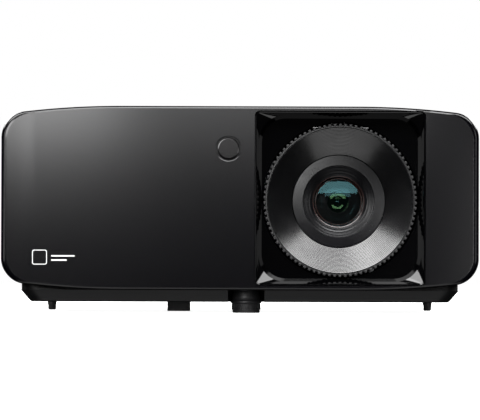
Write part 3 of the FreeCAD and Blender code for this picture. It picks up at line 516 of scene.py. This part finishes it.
# %% Sensor window
face = panel_low.y + 0.25 * mm
flange_front, flange_back = panel_low.y + wall, panel_low.y + wall + 1.1 * mm
flange_radius = window_radius + 2.4 * mm
disc = [(0, face), (window_radius - 0.9 * mm, face), (window_radius - 0.7 * mm, face),
        (window_radius - 0.3 * mm, face + 0.08 * mm), (window_radius, face + 0.4 * mm),
        (window_radius, flange_front), (flange_radius, flange_front), (flange_radius, flange_back),
        (0, flange_back)]
window = ring_by_ring("sensor_window", disc, window_centre, 96)
wear(window, "ir")
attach(window, "case")
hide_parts("ir_window")

# %% [markdown]
# ## Lens bay
#
# The well around the lens is polished black. Its four walls lean in, and where two walls meet the corner
# opens from a tight radius at the mouth to a wide one at the floor, which is what catches the light as four
# slanting gleams. It starts as a rounded block. Its front face is inset to leave a thin lip and pushed in
# to the floor, and then the floor's corners alone are scaled up.

# %% Lens bay
lens_axis = Vector((57.6 * mm, 0, 65.0 * mm))
bay_depth, bay_lip, bay_lean = 9.0 * mm, 0.5 * mm, 3.0 * mm
bay_corner, floor_corner = 3.0 * mm, 15.0 * mm
bay_front = panel_low.y + 0.12 * mm
floor_y = panel_low.y + bay_depth
shelf_depth = 4.2 * mm
bay = rounded_block("lens_bay_well", (bay_low.x, bay_front, bay_low.z),
                    (bay_high.x, floor_y + 1.2 * mm, bay_high.z), bay_corner, "Y", 12)
bay_centre = (bay_low + bay_high) / 2
bay_half = (bay_high - bay_low) / 2
well = Vector((bay_half.x - bay_lip, bay_front, bay_half.z - bay_lip))


def sink(depth, lean):
    """Pushes the selected floor further in, and draws its edges in by the lean."""
    global well
    push(depth)
    drawn = Vector((well.x - lean, well.y + depth, well.z - lean))
    bpy.ops.transform.resize(value=(drawn.x / well.x, 1, drawn.z / well.z), center_override=bay_centre)
    well = drawn


edit_all(bay)
pick_faces(bay, lambda c, n: n.y < -0.9)
bpy.ops.mesh.inset(thickness=bay_lip)
for depth, lean in ((0.08, 0.26), (0.15, 0.22), (0.24, 0.16)):
    sink(depth * mm, lean * mm)
sink(bay_front + shelf_depth - well.y, bay_lean * shelf_depth / bay_depth)
small = bay_corner - bay_lip
bpy.ops.mesh.select_mode(type="FACE")
for sx in (-1, 1):
    for sz in (-1, 1):
        tip = Vector((bay_centre.x + sx * well.x, well.y, bay_centre.z + sz * well.z))
        pick_points(bay, lambda co: abs(co.y - well.y) < 1e-5 and abs(co.x - tip.x) < small * 1.1
                    and abs(co.z - tip.z) < small * 1.1)
        pivot = tip - Vector((sx * small, 0, sz * small))
        grow = floor_corner / small
        bpy.ops.transform.resize(value=(grow, 1, grow), center_override=pivot)
        bpy.ops.transform.translate(value=(sx * (small - floor_corner), 0, sz * (small - floor_corner)))
pick_faces(bay, lambda c, n: n.y < -0.9 and abs(c.y - well.y) < 1e-5)
sink(floor_y - well.y, bay_lean * (1 - shelf_depth / bay_depth))
settle(bay, "lens_bay_well", smooth=30)
ring_low, ring_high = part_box("focus_ring")
ring_radius = (ring_high.x - ring_low.x) / 2
hole_radius, hole_edge = ring_radius + 0.6 * mm, 0.4 * mm
hole_above, hole_below = floor_y - 2 * mm, floor_y + 3 * mm
ring_hole = [(0, hole_above), (hole_radius + hole_edge, hole_above), (hole_radius + hole_edge, floor_y),
             (hole_radius, floor_y + hole_edge), (hole_radius, hole_below), (0, hole_below)]
carve(bay, [ring_by_ring("ring_cutter", ring_hole, lens_axis, 160)])
settle(bay, "lens_bay_well", smooth=30)
wear(bay, "bay")
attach(bay, "case")
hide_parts("lens_bay")
print("bay faces:", len(bay.data.polygons))

# %% [markdown]
# ## Focus ring
#
# The ring is turned, and its grip is a crown of fine teeth. One tooth is modelled, softened and copied
# round the axis, and each copy gets its own mesh before they are joined to the ring.

# %% Focus ring
band = 2.2 * mm
grip_length = 10 * mm
tooth_count = 90
ring_front = ring_low.y
ring_back = ring_high.y
cone_back = ring_back - 9 * mm
sleeve = 30.4 * mm
ring_profile = closed([
    (ring_radius - 0.9 * mm, ring_front + 0.7 * mm), (ring_radius - 0.9 * mm, ring_front + grip_length),
    (35 * mm, cone_back - 1 * mm), (35 * mm, ring_back), (sleeve, ring_back), (sleeve, cone_back),
    (ring_radius - band, ring_front + 4 * mm), (ring_radius - band, ring_front + 0.5 * mm),
    (ring_radius - band + 0.3 * mm, ring_front + 0.15 * mm), (ring_radius - 1.3 * mm, ring_front + 0.2 * mm)])
ring = ring_by_ring("focus_ring_body", ring_profile, lens_axis, 180)
tooth = rounded_block("tooth", (-0.85 * mm, ring_front, ring_radius - 1.5 * mm),
                      (0.85 * mm, ring_front + grip_length - 0.6 * mm, ring_radius), 0, "Y")
soften(tooth, 0.28 * mm, 2, 30)
teeth = []
for i in range(tooth_count):
    copy = tooth.copy()
    copy.data = tooth.data.copy()
    spin = Matrix.Rotation(2 * math.pi * i / tooth_count, 4, "Y")
    copy.data.transform(Matrix.Translation((lens_axis.x, 0, lens_axis.z)) @ spin)
    bpy.context.scene.collection.objects.link(copy)
    teeth.append(copy)
bpy.data.objects.remove(tooth)
ring = merge([ring] + teeth, "focus_ring_grip")
wear(ring, "ring")
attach(ring, "focus_ring")
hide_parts("focus_ring")
print("focus ring faces:", len(ring.data.polygons))

# %% [markdown]
# ## Stepped cone
#
# Inside the ring a black cone falls back towards the glass in narrow steps. Each step has a flat land that
# catches the light and a steep wall that stops stray light. The wall leans a little, as it must to leave
# its mould, so from the front it shows as a fine dark line.

# %% Stepped cone
steps = 20
cone_mouth = ring_radius - band - 0.25 * mm
cone_small = 27.2 * mm
rise = (cone_mouth - cone_small) / steps
run = (cone_back - ring_front - 0.6 * mm) / steps
land_fall = 0.26 * mm
cone_outer = ring_radius - band - 0.02 * mm
cone = [(cone_outer, ring_front + 0.6 * mm), (cone_mouth, ring_front + 0.45 * mm)]
for i in range(steps):
    radius, depth = cone_mouth - i * rise, ring_front + 0.6 * mm + i * run
    cone += [(radius - 0.04 * mm, depth), (radius - rise * 0.66, depth + land_fall),
             (radius - rise * 0.74, depth + land_fall + 0.12 * mm),
             (radius - rise * 0.98, depth + run * 0.97)]
cone += [(cone_small, cone_back), (30.3 * mm, cone_back), (cone_outer, ring_front + 4 * mm)]
baffle = ring_by_ring("stepped_cone", closed(cone), lens_axis, 160, smooth=25)
wear(baffle, "baffle")
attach(baffle, "focus_ring")
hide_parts("focus_ring_baffle")
print("cone faces:", len(baffle.data.polygons))

# %% [markdown]
# ## Lens cell and glass
#
# The front glass sits in a turned black cell with a broad satin ring and three fine steps. A thin retaining
# ring holds the glass. The ring and a thin band just in front of the glass's edge are painted a dark copper
# red.
# This is a painted reflection that stands in for the reddish gleam of the glass bevel. The glass itself is a
# real meniscus, with three smaller coated elements and a dark tube behind, so the reflections stack up in
# depth as in a real lens.

# %% Lens cell
cell_low, cell_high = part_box("focus_lens_cell")
cell_front = cell_low.y
glass_edge = 15.0 * mm
cell_outer = 26.9 * mm
cell_profile = [(cell_outer, cell_front + 0.6 * mm), (cell_outer - 0.1 * mm, cell_front + 0.45 * mm)]
cell_profile += [(glass_edge + 6.2 * mm, cell_front), (glass_edge + 5.9 * mm, cell_front + 0.1 * mm),
                 (glass_edge + 5.7 * mm, cell_front + 0.45 * mm),
                 (glass_edge + 5.5 * mm, cell_front + 1.6 * mm)]
for out, depth in ((4.9, 1.7), (3.0, 3.6), (1.6, 5.4)):
    cell_profile += [(glass_edge + (out + 0.35) * mm, cell_front + depth * mm),
                     (glass_edge + out * mm, cell_front + (depth + 0.05) * mm),
                     (glass_edge + (out - 0.25) * mm, cell_front + (depth + 0.35) * mm),
                     (glass_edge + (out - 0.3) * mm, cell_front + (depth + 1.5) * mm)]
seat_radius, throat = glass_edge + 0.1 * mm, 13.4 * mm
cell_profile += [(seat_radius, cell_front + 7.6 * mm), (seat_radius, cell_front + 14 * mm),
                 (throat, cell_front + 14.4 * mm), (throat, cell_high.y), (cell_outer, cell_high.y)]
cell = ring_by_ring("lens_cell", closed(cell_profile), lens_axis, 160, smooth=25)
wear(cell, "cell")
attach(cell, "focus_group")
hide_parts("focus_lens_cell")


def bowl(radius, rise, y, way, rings=10):
    """Points of a shallow spherical cap from the rim to the middle."""
    big = (radius ** 2 + rise ** 2) / (2 * rise)
    points = []
    for i in range(rings + 1):
        r = radius * (1 - i / rings)
        points.append((r, y + way * (rise - (big - math.sqrt(big ** 2 - r ** 2)))))
    return points


# %% Glass
glass_front = cell_front + 8.6 * mm
front_cap = bowl(glass_edge - 0.3 * mm, 2.6 * mm, glass_front, -1, 16)
back_cap = bowl(glass_edge - 2.0 * mm, 3.2 * mm, glass_front + 4.2 * mm, -1, 12)
meniscus = list(reversed(front_cap))
meniscus += [(glass_edge, glass_front + 0.4 * mm), (glass_edge, glass_front + 4.2 * mm)]
glass = ring_by_ring("front_glass", meniscus + back_cap, lens_axis, 128, smooth=50)
paint["front_glass"] = finish("coated_front_glass", (0.0, 0.0, 0.0), 0.02, 0.0, 60, 0.0, 40)
glass_shader = paint["front_glass"].node_tree.nodes["Principled BSDF"]
glass_shader.inputs["IOR"].default_value = 2.2
glass_shader.inputs["Alpha"].default_value = 0.3
glass_shader.inputs["Specular Tint"].default_value = (0.36, 0.91, 1.0, 1)
glass.data.materials.append(paint["front_glass"])
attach(glass, "focus_group")
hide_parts("front_lens")

# %% Coatings behind the glass
for key, colour in (("coating_green", (0.42, 0.95, 0.42, 1)), ("coating_teal", (0.30, 0.80, 0.85, 1))):
    paint[key] = finish(key, (0.001, 0.003, 0.002), 0.06, 0.01, 400, 0.0, 40)
    shader = paint[key].node_tree.nodes["Principled BSDF"]
    shader.inputs["Specular Tint"].default_value = colour
    shader.inputs["IOR"].default_value = 2.4
# Painted reflection: a dark copper red that stands in for the reddish gleam of the glass bevel.
paint["bevel_gleam_paint"] = finish("painted_bevel_gleam", (0.05, 0.021, 0.017), 0.26, 0.05, 800, 0.05, 80, gleam=1.0)
paint["inner_black"] = finish("flocked_black", (0.0012, 0.0012, 0.0014), 0.5, 0.05, 900, 0.1, 60, gleam=0.3)


def inner_piece(name, profile, key, body="focus_group", centre=lens_axis):
    piece = ring_by_ring(name, profile, centre, 96, smooth=50)
    piece.data.materials.append(paint[key])
    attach(piece, body)
    return piece


def by_the_glass(*points):
    """A closed profile in millimetres, outwards from the edge of the glass and back from its front."""
    return closed([(glass_edge + out * mm, glass_front + depth * mm) for out, depth in points])


# The retaining ring is a real part, but its copper red is a painted reflection of the glass bevel.
ring_section = by_the_glass((0.55, -0.9), (0.55, -0.1), (-0.4, 0.1), (-0.3, -0.45))
inner_piece("retaining_ring", ring_section, "bevel_gleam_paint")
# A thin band just in front of the glass near its edge, painted copper red as a painted reflection of the
# glass bevel.
gleam_band_section = by_the_glass((-1.3, -0.62), (-1.4, -0.74), (-1.7, -0.82), (-1.7, -0.6))
inner_piece("glass_edge_band", gleam_band_section, "bevel_gleam_paint")

# %% Elements in depth
seat = glass_front + 5.4 * mm
second_radius = 6.2 * mm
coated = list(reversed(bowl(second_radius, 1.18 * mm, seat, -1, 14)))
coated += [(second_radius, seat + 1.0 * mm), (0, seat + 1.0 * mm)]
inner_piece("second_element", coated, "coating_green")
tube = [(13.3 * mm, cell_high.y - 0.9 * mm), (6.9 * mm, seat + 0.1 * mm), (6.75 * mm, seat - 0.35 * mm),
        (6.4 * mm, seat - 0.3 * mm), (6.3 * mm, seat + 0.4 * mm), (13.3 * mm, cell_high.y - 0.1 * mm)]
inner_piece("element_cone", closed(tube), "inner_black")
pupil = lens_axis + Vector((-0.5 * mm, 0, -0.4 * mm))
hollow = list(reversed(bowl(3.9 * mm, 0.62 * mm, seat - 1.25 * mm, 1, 12)))
hollow += [(3.95 * mm, seat - 1.1 * mm), (3.6 * mm, seat - 0.2 * mm), (0, seat - 0.2 * mm)]
inner_piece("pupil_element", hollow, "coating_green", centre=pupil)
gleam_radius = 1.5 * mm
gleam = list(reversed(bowl(gleam_radius, 0.35 * mm, seat - 0.95 * mm, -1, 10)))
gleam += [(gleam_radius, seat - 0.7 * mm), (0, seat - 0.7 * mm)]
inner_piece("pupil_gleam", gleam, "coating_teal", centre=pupil)

# %% [markdown]
# ## Keys
#
# The keys stand a little proud of the cover. Each is a moulded cap with a shallow dish for the fingertip
# and a wide flange underneath that keeps it in. A sculpted grid would also do, but insetting and sinking
# the top face twice gives the dish with two clean loops. The marks are plain shapes, printed on top.

# %% Keys
key_flange, dish = 1.2 * mm, 0.16 * mm
key_corner = {"enter_key": 5.4 * mm, "menu_key": 5.9 * mm, "power_key": 6.4 * mm}


def moulded_key(node):
    low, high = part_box(node)
    corner = key_corner.get(node, 2 * mm)
    edge = Vector((key_flange, key_flange, 0))
    cap = rounded_block(node + "_cap", low + edge, high - edge, corner, "Z", 8)
    edit_all(cap)
    pick_faces(cap, lambda c, n: n.z > 0.9)
    for inset, fall in ((0.25, 0), (0.7, dish), (1.4, dish * 0.7)):
        bpy.ops.mesh.inset(thickness=inset * mm)
        bpy.ops.transform.translate(value=(0, 0, -fall))
    settle(cap, node + "_cap", smooth=50)
    soften(cap, 0.22 * mm, 3, 50)
    flange_top = low.z + 1.1 * mm
    flange = rounded_block("flange", low, Vector((high.x, high.y, flange_top)), corner + key_flange, "Z", 8)
    cap = merge([cap, flange], node + "_cap")
    settle(cap, node + "_cap", smooth=40)
    wear(cap, "key")
    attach(cap, body_of(frame["nodes"][node])[0])
    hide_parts(node)
    return (low + high) / 2, high.z - dish * 1.7


def key_mark(node, corners, size, turn, centre, z):
    """A flat mark with the given number of corners; many corners make a ring."""
    let_go()
    bpy.ops.mesh.primitive_circle_add(vertices=corners, radius=size, fill_type="NGON",
                                      location=(centre.x, centre.y, z), rotation=(0, 0, turn))
    mark = bpy.context.object
    edit_all(mark)
    if corners > 4:
        bpy.ops.mesh.inset(thickness=size * 0.25)
        bpy.ops.mesh.delete(type="FACE")
        bpy.ops.mesh.select_all(action="SELECT")
    bpy.ops.mesh.extrude_region_move(TRANSFORM_OT_translate={"value": (0, 0, 0.05 * mm)})
    settle(mark, node + "_mark")
    mark.data.materials.append(paint["print"])
    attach(mark, body_of(frame["nodes"][node])[0])


key_marks = (("up_key", 3, 1.5, 0), ("down_key", 3, 1.5, math.pi), ("left_key", 3, 1.5, math.pi / 2),
             ("right_key", 3, 1.5, -math.pi / 2), ("enter_key", 32, 1.6, 0),
             ("menu_key", 4, 1.6, math.pi / 4), ("power_key", 32, 2.2, 0))
for node, corners, size, turn in key_marks:
    centre, z = moulded_key(node)
    key_mark(node, corners, size * mm, turn, centre, z)

# %% [markdown]
# ## Side grilles
#
# Each grille is a plate with a row of upright slots. The slots' ends are round, because a cutter or a mould
# pin is round, and their edges are softened. All slots are joined into one cutter, so one cut makes them.

# %% Side grilles
vent_pitch, vent_slot, vent_margin = 6.0 * mm, 3.4 * mm, 5.0 * mm


def grille(node):
    low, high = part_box(node)
    plate = rounded_block(node + "_plate", low, high, 0, "X")
    count = int((high.y - low.y - 2 * vent_margin) // vent_pitch)
    first = (low.y + high.y - (count - 1) * vent_pitch) / 2
    slots = []
    for i in range(count):
        y = first + i * vent_pitch
        slots.append(rounded_block("slot", (low.x - mm, y - vent_slot / 2, low.z + vent_margin),
                                   (high.x + mm, y + vent_slot / 2, high.z - vent_margin), 1.5 * mm, "X", 4))
    carve(plate, [merge(slots, "slots")])
    soften(plate, 0.3 * mm, 2, 60)
    settle(plate, node + "_plate", smooth=40)
    wear(plate, "housing")
    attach(plate, "case")
    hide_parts(node)
    return count


print("slots:", [grille(node) for node in ("left_vent_grille", "right_vent_grille")])

# %% [markdown]
# ## Feet and zoom lever
#
# The front foot is a thumb knob on a screw. Its waist carries fine ribs for grip, and a rubber pad under it
# has a rolled edge. The two rear feet end in small rounded rubber tips. The zoom ring's lever comes up
# through a slot in the cover, and its top is ribbed across so that a fingertip can push it.

# %% Front foot
knob_low, knob_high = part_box("front_foot_knob")
foot_centre = Vector(((knob_low.x + knob_high.x) / 2, (knob_low.y + knob_high.y) / 2, 0))
knob_profile = [(0, 1.6), (7.7, 1.6), (8.0, 1.75), (8.15, 5.2), (8.75, 5.85), (9.0, 6.1), (9.0, 6.7),
                (8.8, 6.95), (8.2, 7.5), (7.9, 9.0), (7.05, 12.9), (3.0, 12.9), (3.0, knob_high.z / mm),
                (0, knob_high.z / mm)]
knob = ring_by_ring("thumb_knob", [(r * mm, z * mm) for r, z in knob_profile], foot_centre, 96, "Z", 40)
rib_count = 36
ribs = []
for i in range(rib_count):
    rib = rounded_block("rib", (-0.2 * mm, 7.9 * mm, 1.9 * mm), (0.2 * mm, 8.45 * mm, 5.1 * mm), 0, "Z")
    rib.data.transform(Matrix.Rotation(2 * math.pi * i / rib_count, 4, "Z"))
    rib.data.transform(Matrix.Translation(foot_centre))
    soften(rib, 0.12 * mm, 2, 40)
    ribs.append(rib)
knob = merge([knob] + ribs, "thumb_knob")
wear(knob, "black")
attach(knob, body_of(frame["nodes"]["front_foot_knob"])[0])
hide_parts("front_foot_knob")


def rubber_tip(node, name):
    low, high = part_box(node)
    radius, tall = (high.x - low.x) / 2, high.z - low.z
    roll = min(0.42 * tall, 0.4 * radius)
    profile = [(0, low.z)]
    for i in range(6):
        turn = math.pi / 2 * i / 5
        profile.append((radius - roll * (1 - math.sin(turn)), low.z + roll * (1 - math.cos(turn))))
    top = high.z - 0.02 * mm
    profile += [(radius, top), (0, top)]
    tip = ring_by_ring(name, profile, ((low.x + high.x) / 2, (low.y + high.y) / 2, 0), 64, "Z", 40)
    wear(tip, "rubber")
    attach(tip, body_of(frame["nodes"][node])[0])
    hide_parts(node)


rubber_tip("front_foot_pad", "knob_pad")
rubber_tip("rear_foot_left_tip", "left_foot_tip")
rubber_tip("rear_foot_right_tip", "right_foot_tip")

# %% Zoom ring and its lever
zoom_low, zoom_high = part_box("zoom_ring")
zoom_radius = lens_axis.z - zoom_low.z
zoom_y = (zoom_low.y + zoom_high.y) / 2
zoom_half = (zoom_high.y - zoom_low.y) / 2
zoom_bore = 30.4 * mm
zoom_edge = 0.4 * mm
zoom_front, zoom_back = zoom_y - zoom_half, zoom_y + zoom_half
zoom_profile = closed([(zoom_radius - zoom_edge, zoom_front), (zoom_radius, zoom_front + zoom_edge),
                       (zoom_radius, zoom_back - zoom_edge), (zoom_radius - zoom_edge, zoom_back),
                       (zoom_bore, zoom_back), (zoom_bore, zoom_front)])
zoom = ring_by_ring("zoom_ring_body", zoom_profile, lens_axis, 128)
lever_half, lever_deep, ridge = 4 * mm, 3 * mm, 0.5 * mm
lever_foot = lens_axis.z + zoom_radius - 2 * mm
lever = rounded_block("lever", (lens_axis.x - lever_half, zoom_y - lever_deep, lever_foot),
                      (lens_axis.x + lever_half, zoom_y + lever_deep, zoom_high.z - ridge), 1.2 * mm, "Z", 5)
soften(lever, 0.35 * mm, 3, 50)
ridges = []
for i in range(5):
    x = lens_axis.x + (i - 2) * 1.5 * mm
    rib = rounded_block("ridge", (x - 0.35 * mm, zoom_y - lever_deep + 0.6 * mm, zoom_high.z - 3 * ridge),
                        (x + 0.35 * mm, zoom_y + lever_deep - 0.6 * mm, zoom_high.z), 0.2 * mm, "Z", 2)
    ridges.append(soften(rib, 0.15 * mm, 2, 50))
zoom = merge([zoom, lever] + ridges, "zoom_ring_body")
wear(zoom, "ring")
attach(zoom, body_of(frame["nodes"]["zoom_ring"])[0])
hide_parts("zoom_ring")

# %% [markdown]
# ## Top cover
#
# The cover is a shell with the panel's outline, run back to the rear corners, which are round in plan.
# The outline's prism and a plan block are kept only where they overlap. A smaller one is cut out of it, and
# then the openings: two windows for the grilles, the keys' holes, the lights' holes and the zoom slot.

# %% Top cover
cover_low, cover_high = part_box("top_cover")
rear_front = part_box("rear_panel")[0].y
rear_corner = 14 * mm


def keep_common(piece, other):
    both = piece.modifiers.new("both", "BOOLEAN")
    both.operation, both.solver, both.object = "INTERSECT", "EXACT", other
    take(piece)
    bpy.ops.object.modifier_apply(modifier=both.name)
    bpy.data.objects.remove(other)
    return piece


def case_prism(name, inset, y_from, y_to, corner, reach=None):
    """The outline run from y_from to y_to, with its far corners rounded in plan."""
    prism = outline_plane(name, y_from, inset, 10, 9)
    edit_all(prism)
    push(y_to - y_from)
    settle(prism, name)
    side = reach or half_width - inset
    plan = rounded_block("plan", (-side, y_from - 4 * rear_corner, -mm),
                         (side, y_to, cad_high.z + 5 * mm), corner, "Z", 10)
    return keep_common(prism, plan)


cover = case_prism("cover_shell", shell_inset, cover_low.y, cover_high.y, rear_corner)
room = case_prism("room", shell_inset + wall, cover_low.y - mm, rear_front, rear_corner - wall)
door = case_prism("door", shell_inset + wall, rear_front - mm, cover_high.y + mm, 0,
                  half_width - shell_inset - 2 * wall)
past = 200 * mm
below = rounded_block("below", (-past, cover_low.y - 2 * mm, -mm),
                      (past, cover_high.y + 2 * mm, cover_low.z), 0)
openings = []
for node in ("left_vent_grille", "right_vent_grille"):
    low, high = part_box(node)
    openings.append(rounded_block("vent", low - Vector((5 * mm, 0, 0)), high + Vector((5 * mm, 0, 0)), 0))
key_gap = 0.35 * mm
for node in ("up_key", "down_key", "left_key", "right_key", "enter_key", "menu_key", "power_key"):
    low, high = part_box(node)
    grow = Vector((key_gap - key_flange, key_gap - key_flange, -3 * mm))
    openings.append(rounded_block("key_hole", low - grow, high + grow + Vector((0, 0, 6 * mm)),
                                  key_corner.get(node, 2 * mm) + key_gap, "Z", 8))
slot_half, slot_deep = 20 * mm, 6 * mm
hole_top, hole_foot = cover_high.z + mm, cover_high.z - 6 * mm
openings.append(rounded_block("zoom_slot", (lens_axis.x - slot_half, zoom_y - slot_deep, hole_foot),
                              (lens_axis.x + slot_half, zoom_y + slot_deep, hole_top), 5.4 * mm, "Z", 8))
light_radius, light_step = 1.2 * mm, 6 * mm
lights_low, lights_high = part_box("status_light_pipes")
for i in range(3):
    centre = Vector((lights_low.x + light_radius + i * light_step, (lights_low.y + lights_high.y) / 2, 0))
    round_hole = [(0, hole_foot), (light_radius, hole_foot), (light_radius, hole_top), (0, hole_top)]
    openings.append(ring_by_ring("light_hole", round_hole, centre, 32, "Z"))
for cutter in (below, room, door):
    carve(cover, [cutter])
    settle(cover, "cover_shell", smooth=30)
carve(cover, openings)
soften(cover, 0.18 * mm, 2, 50)
settle(cover, "cover_shell", smooth=40)
wear(cover, "housing")
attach(cover, "case")
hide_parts("top_cover")
print("cover faces:", len(cover.data.polygons))

# %% [markdown]
# ## Printed mark
#
# A small pad-printed mark sits low on the left of the panel. Here it is a plain square outline with two
# short bars, a tenth of a millimetre thick.

# %% Printed mark
mark_low = Vector((-119 * mm, panel_low.y - 0.02 * mm, 27.5 * mm))
mark_size, mark_line, print_depth = 8.5 * mm, 0.45 * mm, 0.06 * mm
mark_high = mark_low + Vector((mark_size, print_depth, mark_size))
frame_block = rounded_block("mark_outline", mark_low, mark_high, 1.2 * mm, "Y")
inside = mark_size - mark_line
frame_hole = rounded_block("mark_hole", mark_low + Vector((mark_line, -mm, mark_line)),
                           mark_low + Vector((inside, mm, inside)), 0.9 * mm, "Y")
carve(frame_block, [frame_hole])
marks = [frame_block]
for width, height in ((13.5 * mm, 4.6 * mm), (9.0 * mm, 2.2 * mm)):
    start = mark_low + Vector((mark_size + 2.4 * mm, 0, height))
    end = start + Vector((width, print_depth, 0.8 * mm))
    marks.append(rounded_block("mark_bar", start, end, 0.3 * mm, "Y"))
mark = merge(marks, "printed_mark")
settle(mark, "printed_mark")
mark.data.materials.clear()
mark.data.materials.append(paint["print"])
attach(mark, "case")

# %% [markdown]
# ## Floor and light
#
# A black glossy object is drawn by what it reflects, so the lights matter more than the finishes. A soft
# panel high on the left, close to the camera, washes the top left of the satin front, and stays out of the
# polished bay. Strips above and below pick out the rims, the cone's steps and the bay's corners. The coated
# glasses see one lamp only, high in front, which gives each its crescent. The floor is white.

# %% Floor
bpy.ops.object.select_all(action="DESELECT")
bpy.ops.mesh.primitive_plane_add(size=12, location=(0, 0, 0))
floor = bpy.context.object
floor.name = "studio_floor"
floor_paint = bpy.data.materials.new("pale_floor")
floor_paint.use_nodes = True
floor_shader = floor_paint.node_tree.nodes["Principled BSDF"]
floor_shader.inputs["Base Color"].default_value = (0.8, 0.8, 0.8, 1)
floor_shader.inputs["Roughness"].default_value = 0.9
floor_shader.inputs["Emission Color"].default_value = (1, 1, 1, 1)
floor_shader.inputs["Emission Strength"].default_value = 0.97
floor.data.materials.append(floor_paint)
floor.visible_glossy = False
floor.visible_diffuse = False
floor.visible_shadow = False

# %% World
world = bpy.data.worlds.new("studio")
bpy.context.scene.world = world
world.use_nodes = True
sky, sky_links = world.node_tree.nodes, world.node_tree.links
backdrop = sky["Background"]
backdrop.inputs["Color"].default_value = (1, 1, 1, 1)
backdrop.inputs["Strength"].default_value = 1.0
dim = sky.new("ShaderNodeBackground")
dim.inputs["Color"].default_value = (1, 1, 1, 1)
dim.inputs["Strength"].default_value = 0.02
seen = sky.new("ShaderNodeLightPath")
blend_sky = sky.new("ShaderNodeMixShader")
sky_links.new(seen.outputs["Is Camera Ray"], blend_sky.inputs[0])
sky_links.new(dim.outputs[0], blend_sky.inputs[1])
sky_links.new(backdrop.outputs[0], blend_sky.inputs[2])
sky_links.new(blend_sky.outputs[0], sky["World Output"].inputs["Surface"])
bpy.context.scene.view_settings.view_transform = "Standard"


# %% Lamps
def soft_panel(name, place, target, width, height, watts):
    bpy.ops.object.light_add(type="AREA", location=place)
    lamp = bpy.context.object
    lamp.name = name
    lamp.data.shape = "RECTANGLE"
    lamp.data.size, lamp.data.size_y = width, height
    lamp.data.energy = watts
    lamp.rotation_euler = (Vector(target) - Vector(place)).to_track_quat("-Z", "Y").to_euler()
    return lamp


def only_on(lamp, name, pieces, state):
    """Lets a lamp reach only the pieces named, or everything but them."""
    group = bpy.data.collections.new(name)
    for piece in pieces:
        group.objects.link(piece)
    for entry in group.collection_objects:
        entry.light_linking.link_state = state
    lamp.light_linking.receiver_collection = group


heart = Vector((0, panel_low.y, panel_middle))
desk = camera.location.y
lens_heart = Vector((lens_axis.x, panel_low.y, lens_axis.z))
lens_pieces = [bpy.data.objects[n] for n in ("front_glass", "second_element", "pupil_element", "pupil_gleam")]
soft_panel("wash_left", (-0.53, desk, 0.435), heart, 0.82, 0.5, 13.5)
soft_panel("wash_middle", (0.05, desk, 0.435), heart, 0.3, 0.5, 1.2)
soft_panel("low_right", (0.52, desk, 0.02), heart, 0.4, 0.3, 1.5)
soft_panel("top_front", (0.0, -1.15, 1.35), heart, 3.2, 0.8, 70)
soft_panel("overhead", (-0.5, -0.85, 1.42), heart, 3.4, 0.45, 18)
soft_panel("side_left", (-1.35, -1.7, 0.25), heart, 0.4, 0.8, 3)
soft_panel("side_right", (1.35, -1.7, 0.25), heart, 0.4, 0.8, 2)
soft_panel("under_front", (0.0, -1.3, -0.95), heart, 1.2, 0.4, 1.5)
soft_panel("under_cone", (0.0, -0.75, -1.2), heart, 1.6, 0.4, 3)
soft_panel("flank_left", (-1.9, 0.5, 1.3), (0, 0, 0.06), 1.2, 0.8, 34)
soft_panel("flank_right", (1.9, 0.5, 1.3), (0, 0, 0.06), 1.2, 0.8, 34)
soft_panel("back_left", (-1.2, 1.7, 1.3), (0, 0, 0.06), 1.2, 0.9, 40)
soft_panel("back_right", (1.3, 1.6, 1.2), (0, 0, 0.06), 0.9, 0.9, 28)
for lamp in [o for o in bpy.data.objects if o.type == "LIGHT"]:
    dark = lens_pieces + ([bay] if lamp.name.startswith("wash") else [])
    only_on(lamp, "not in " + lamp.name, dark, "EXCLUDE")
lens_lamp = soft_panel("lens_lamp", (0.0576, -1.72, 0.83), lens_heart, 2.2, 0.6, 13)
only_on(lens_lamp, "in the lens", lens_pieces, "INCLUDE")
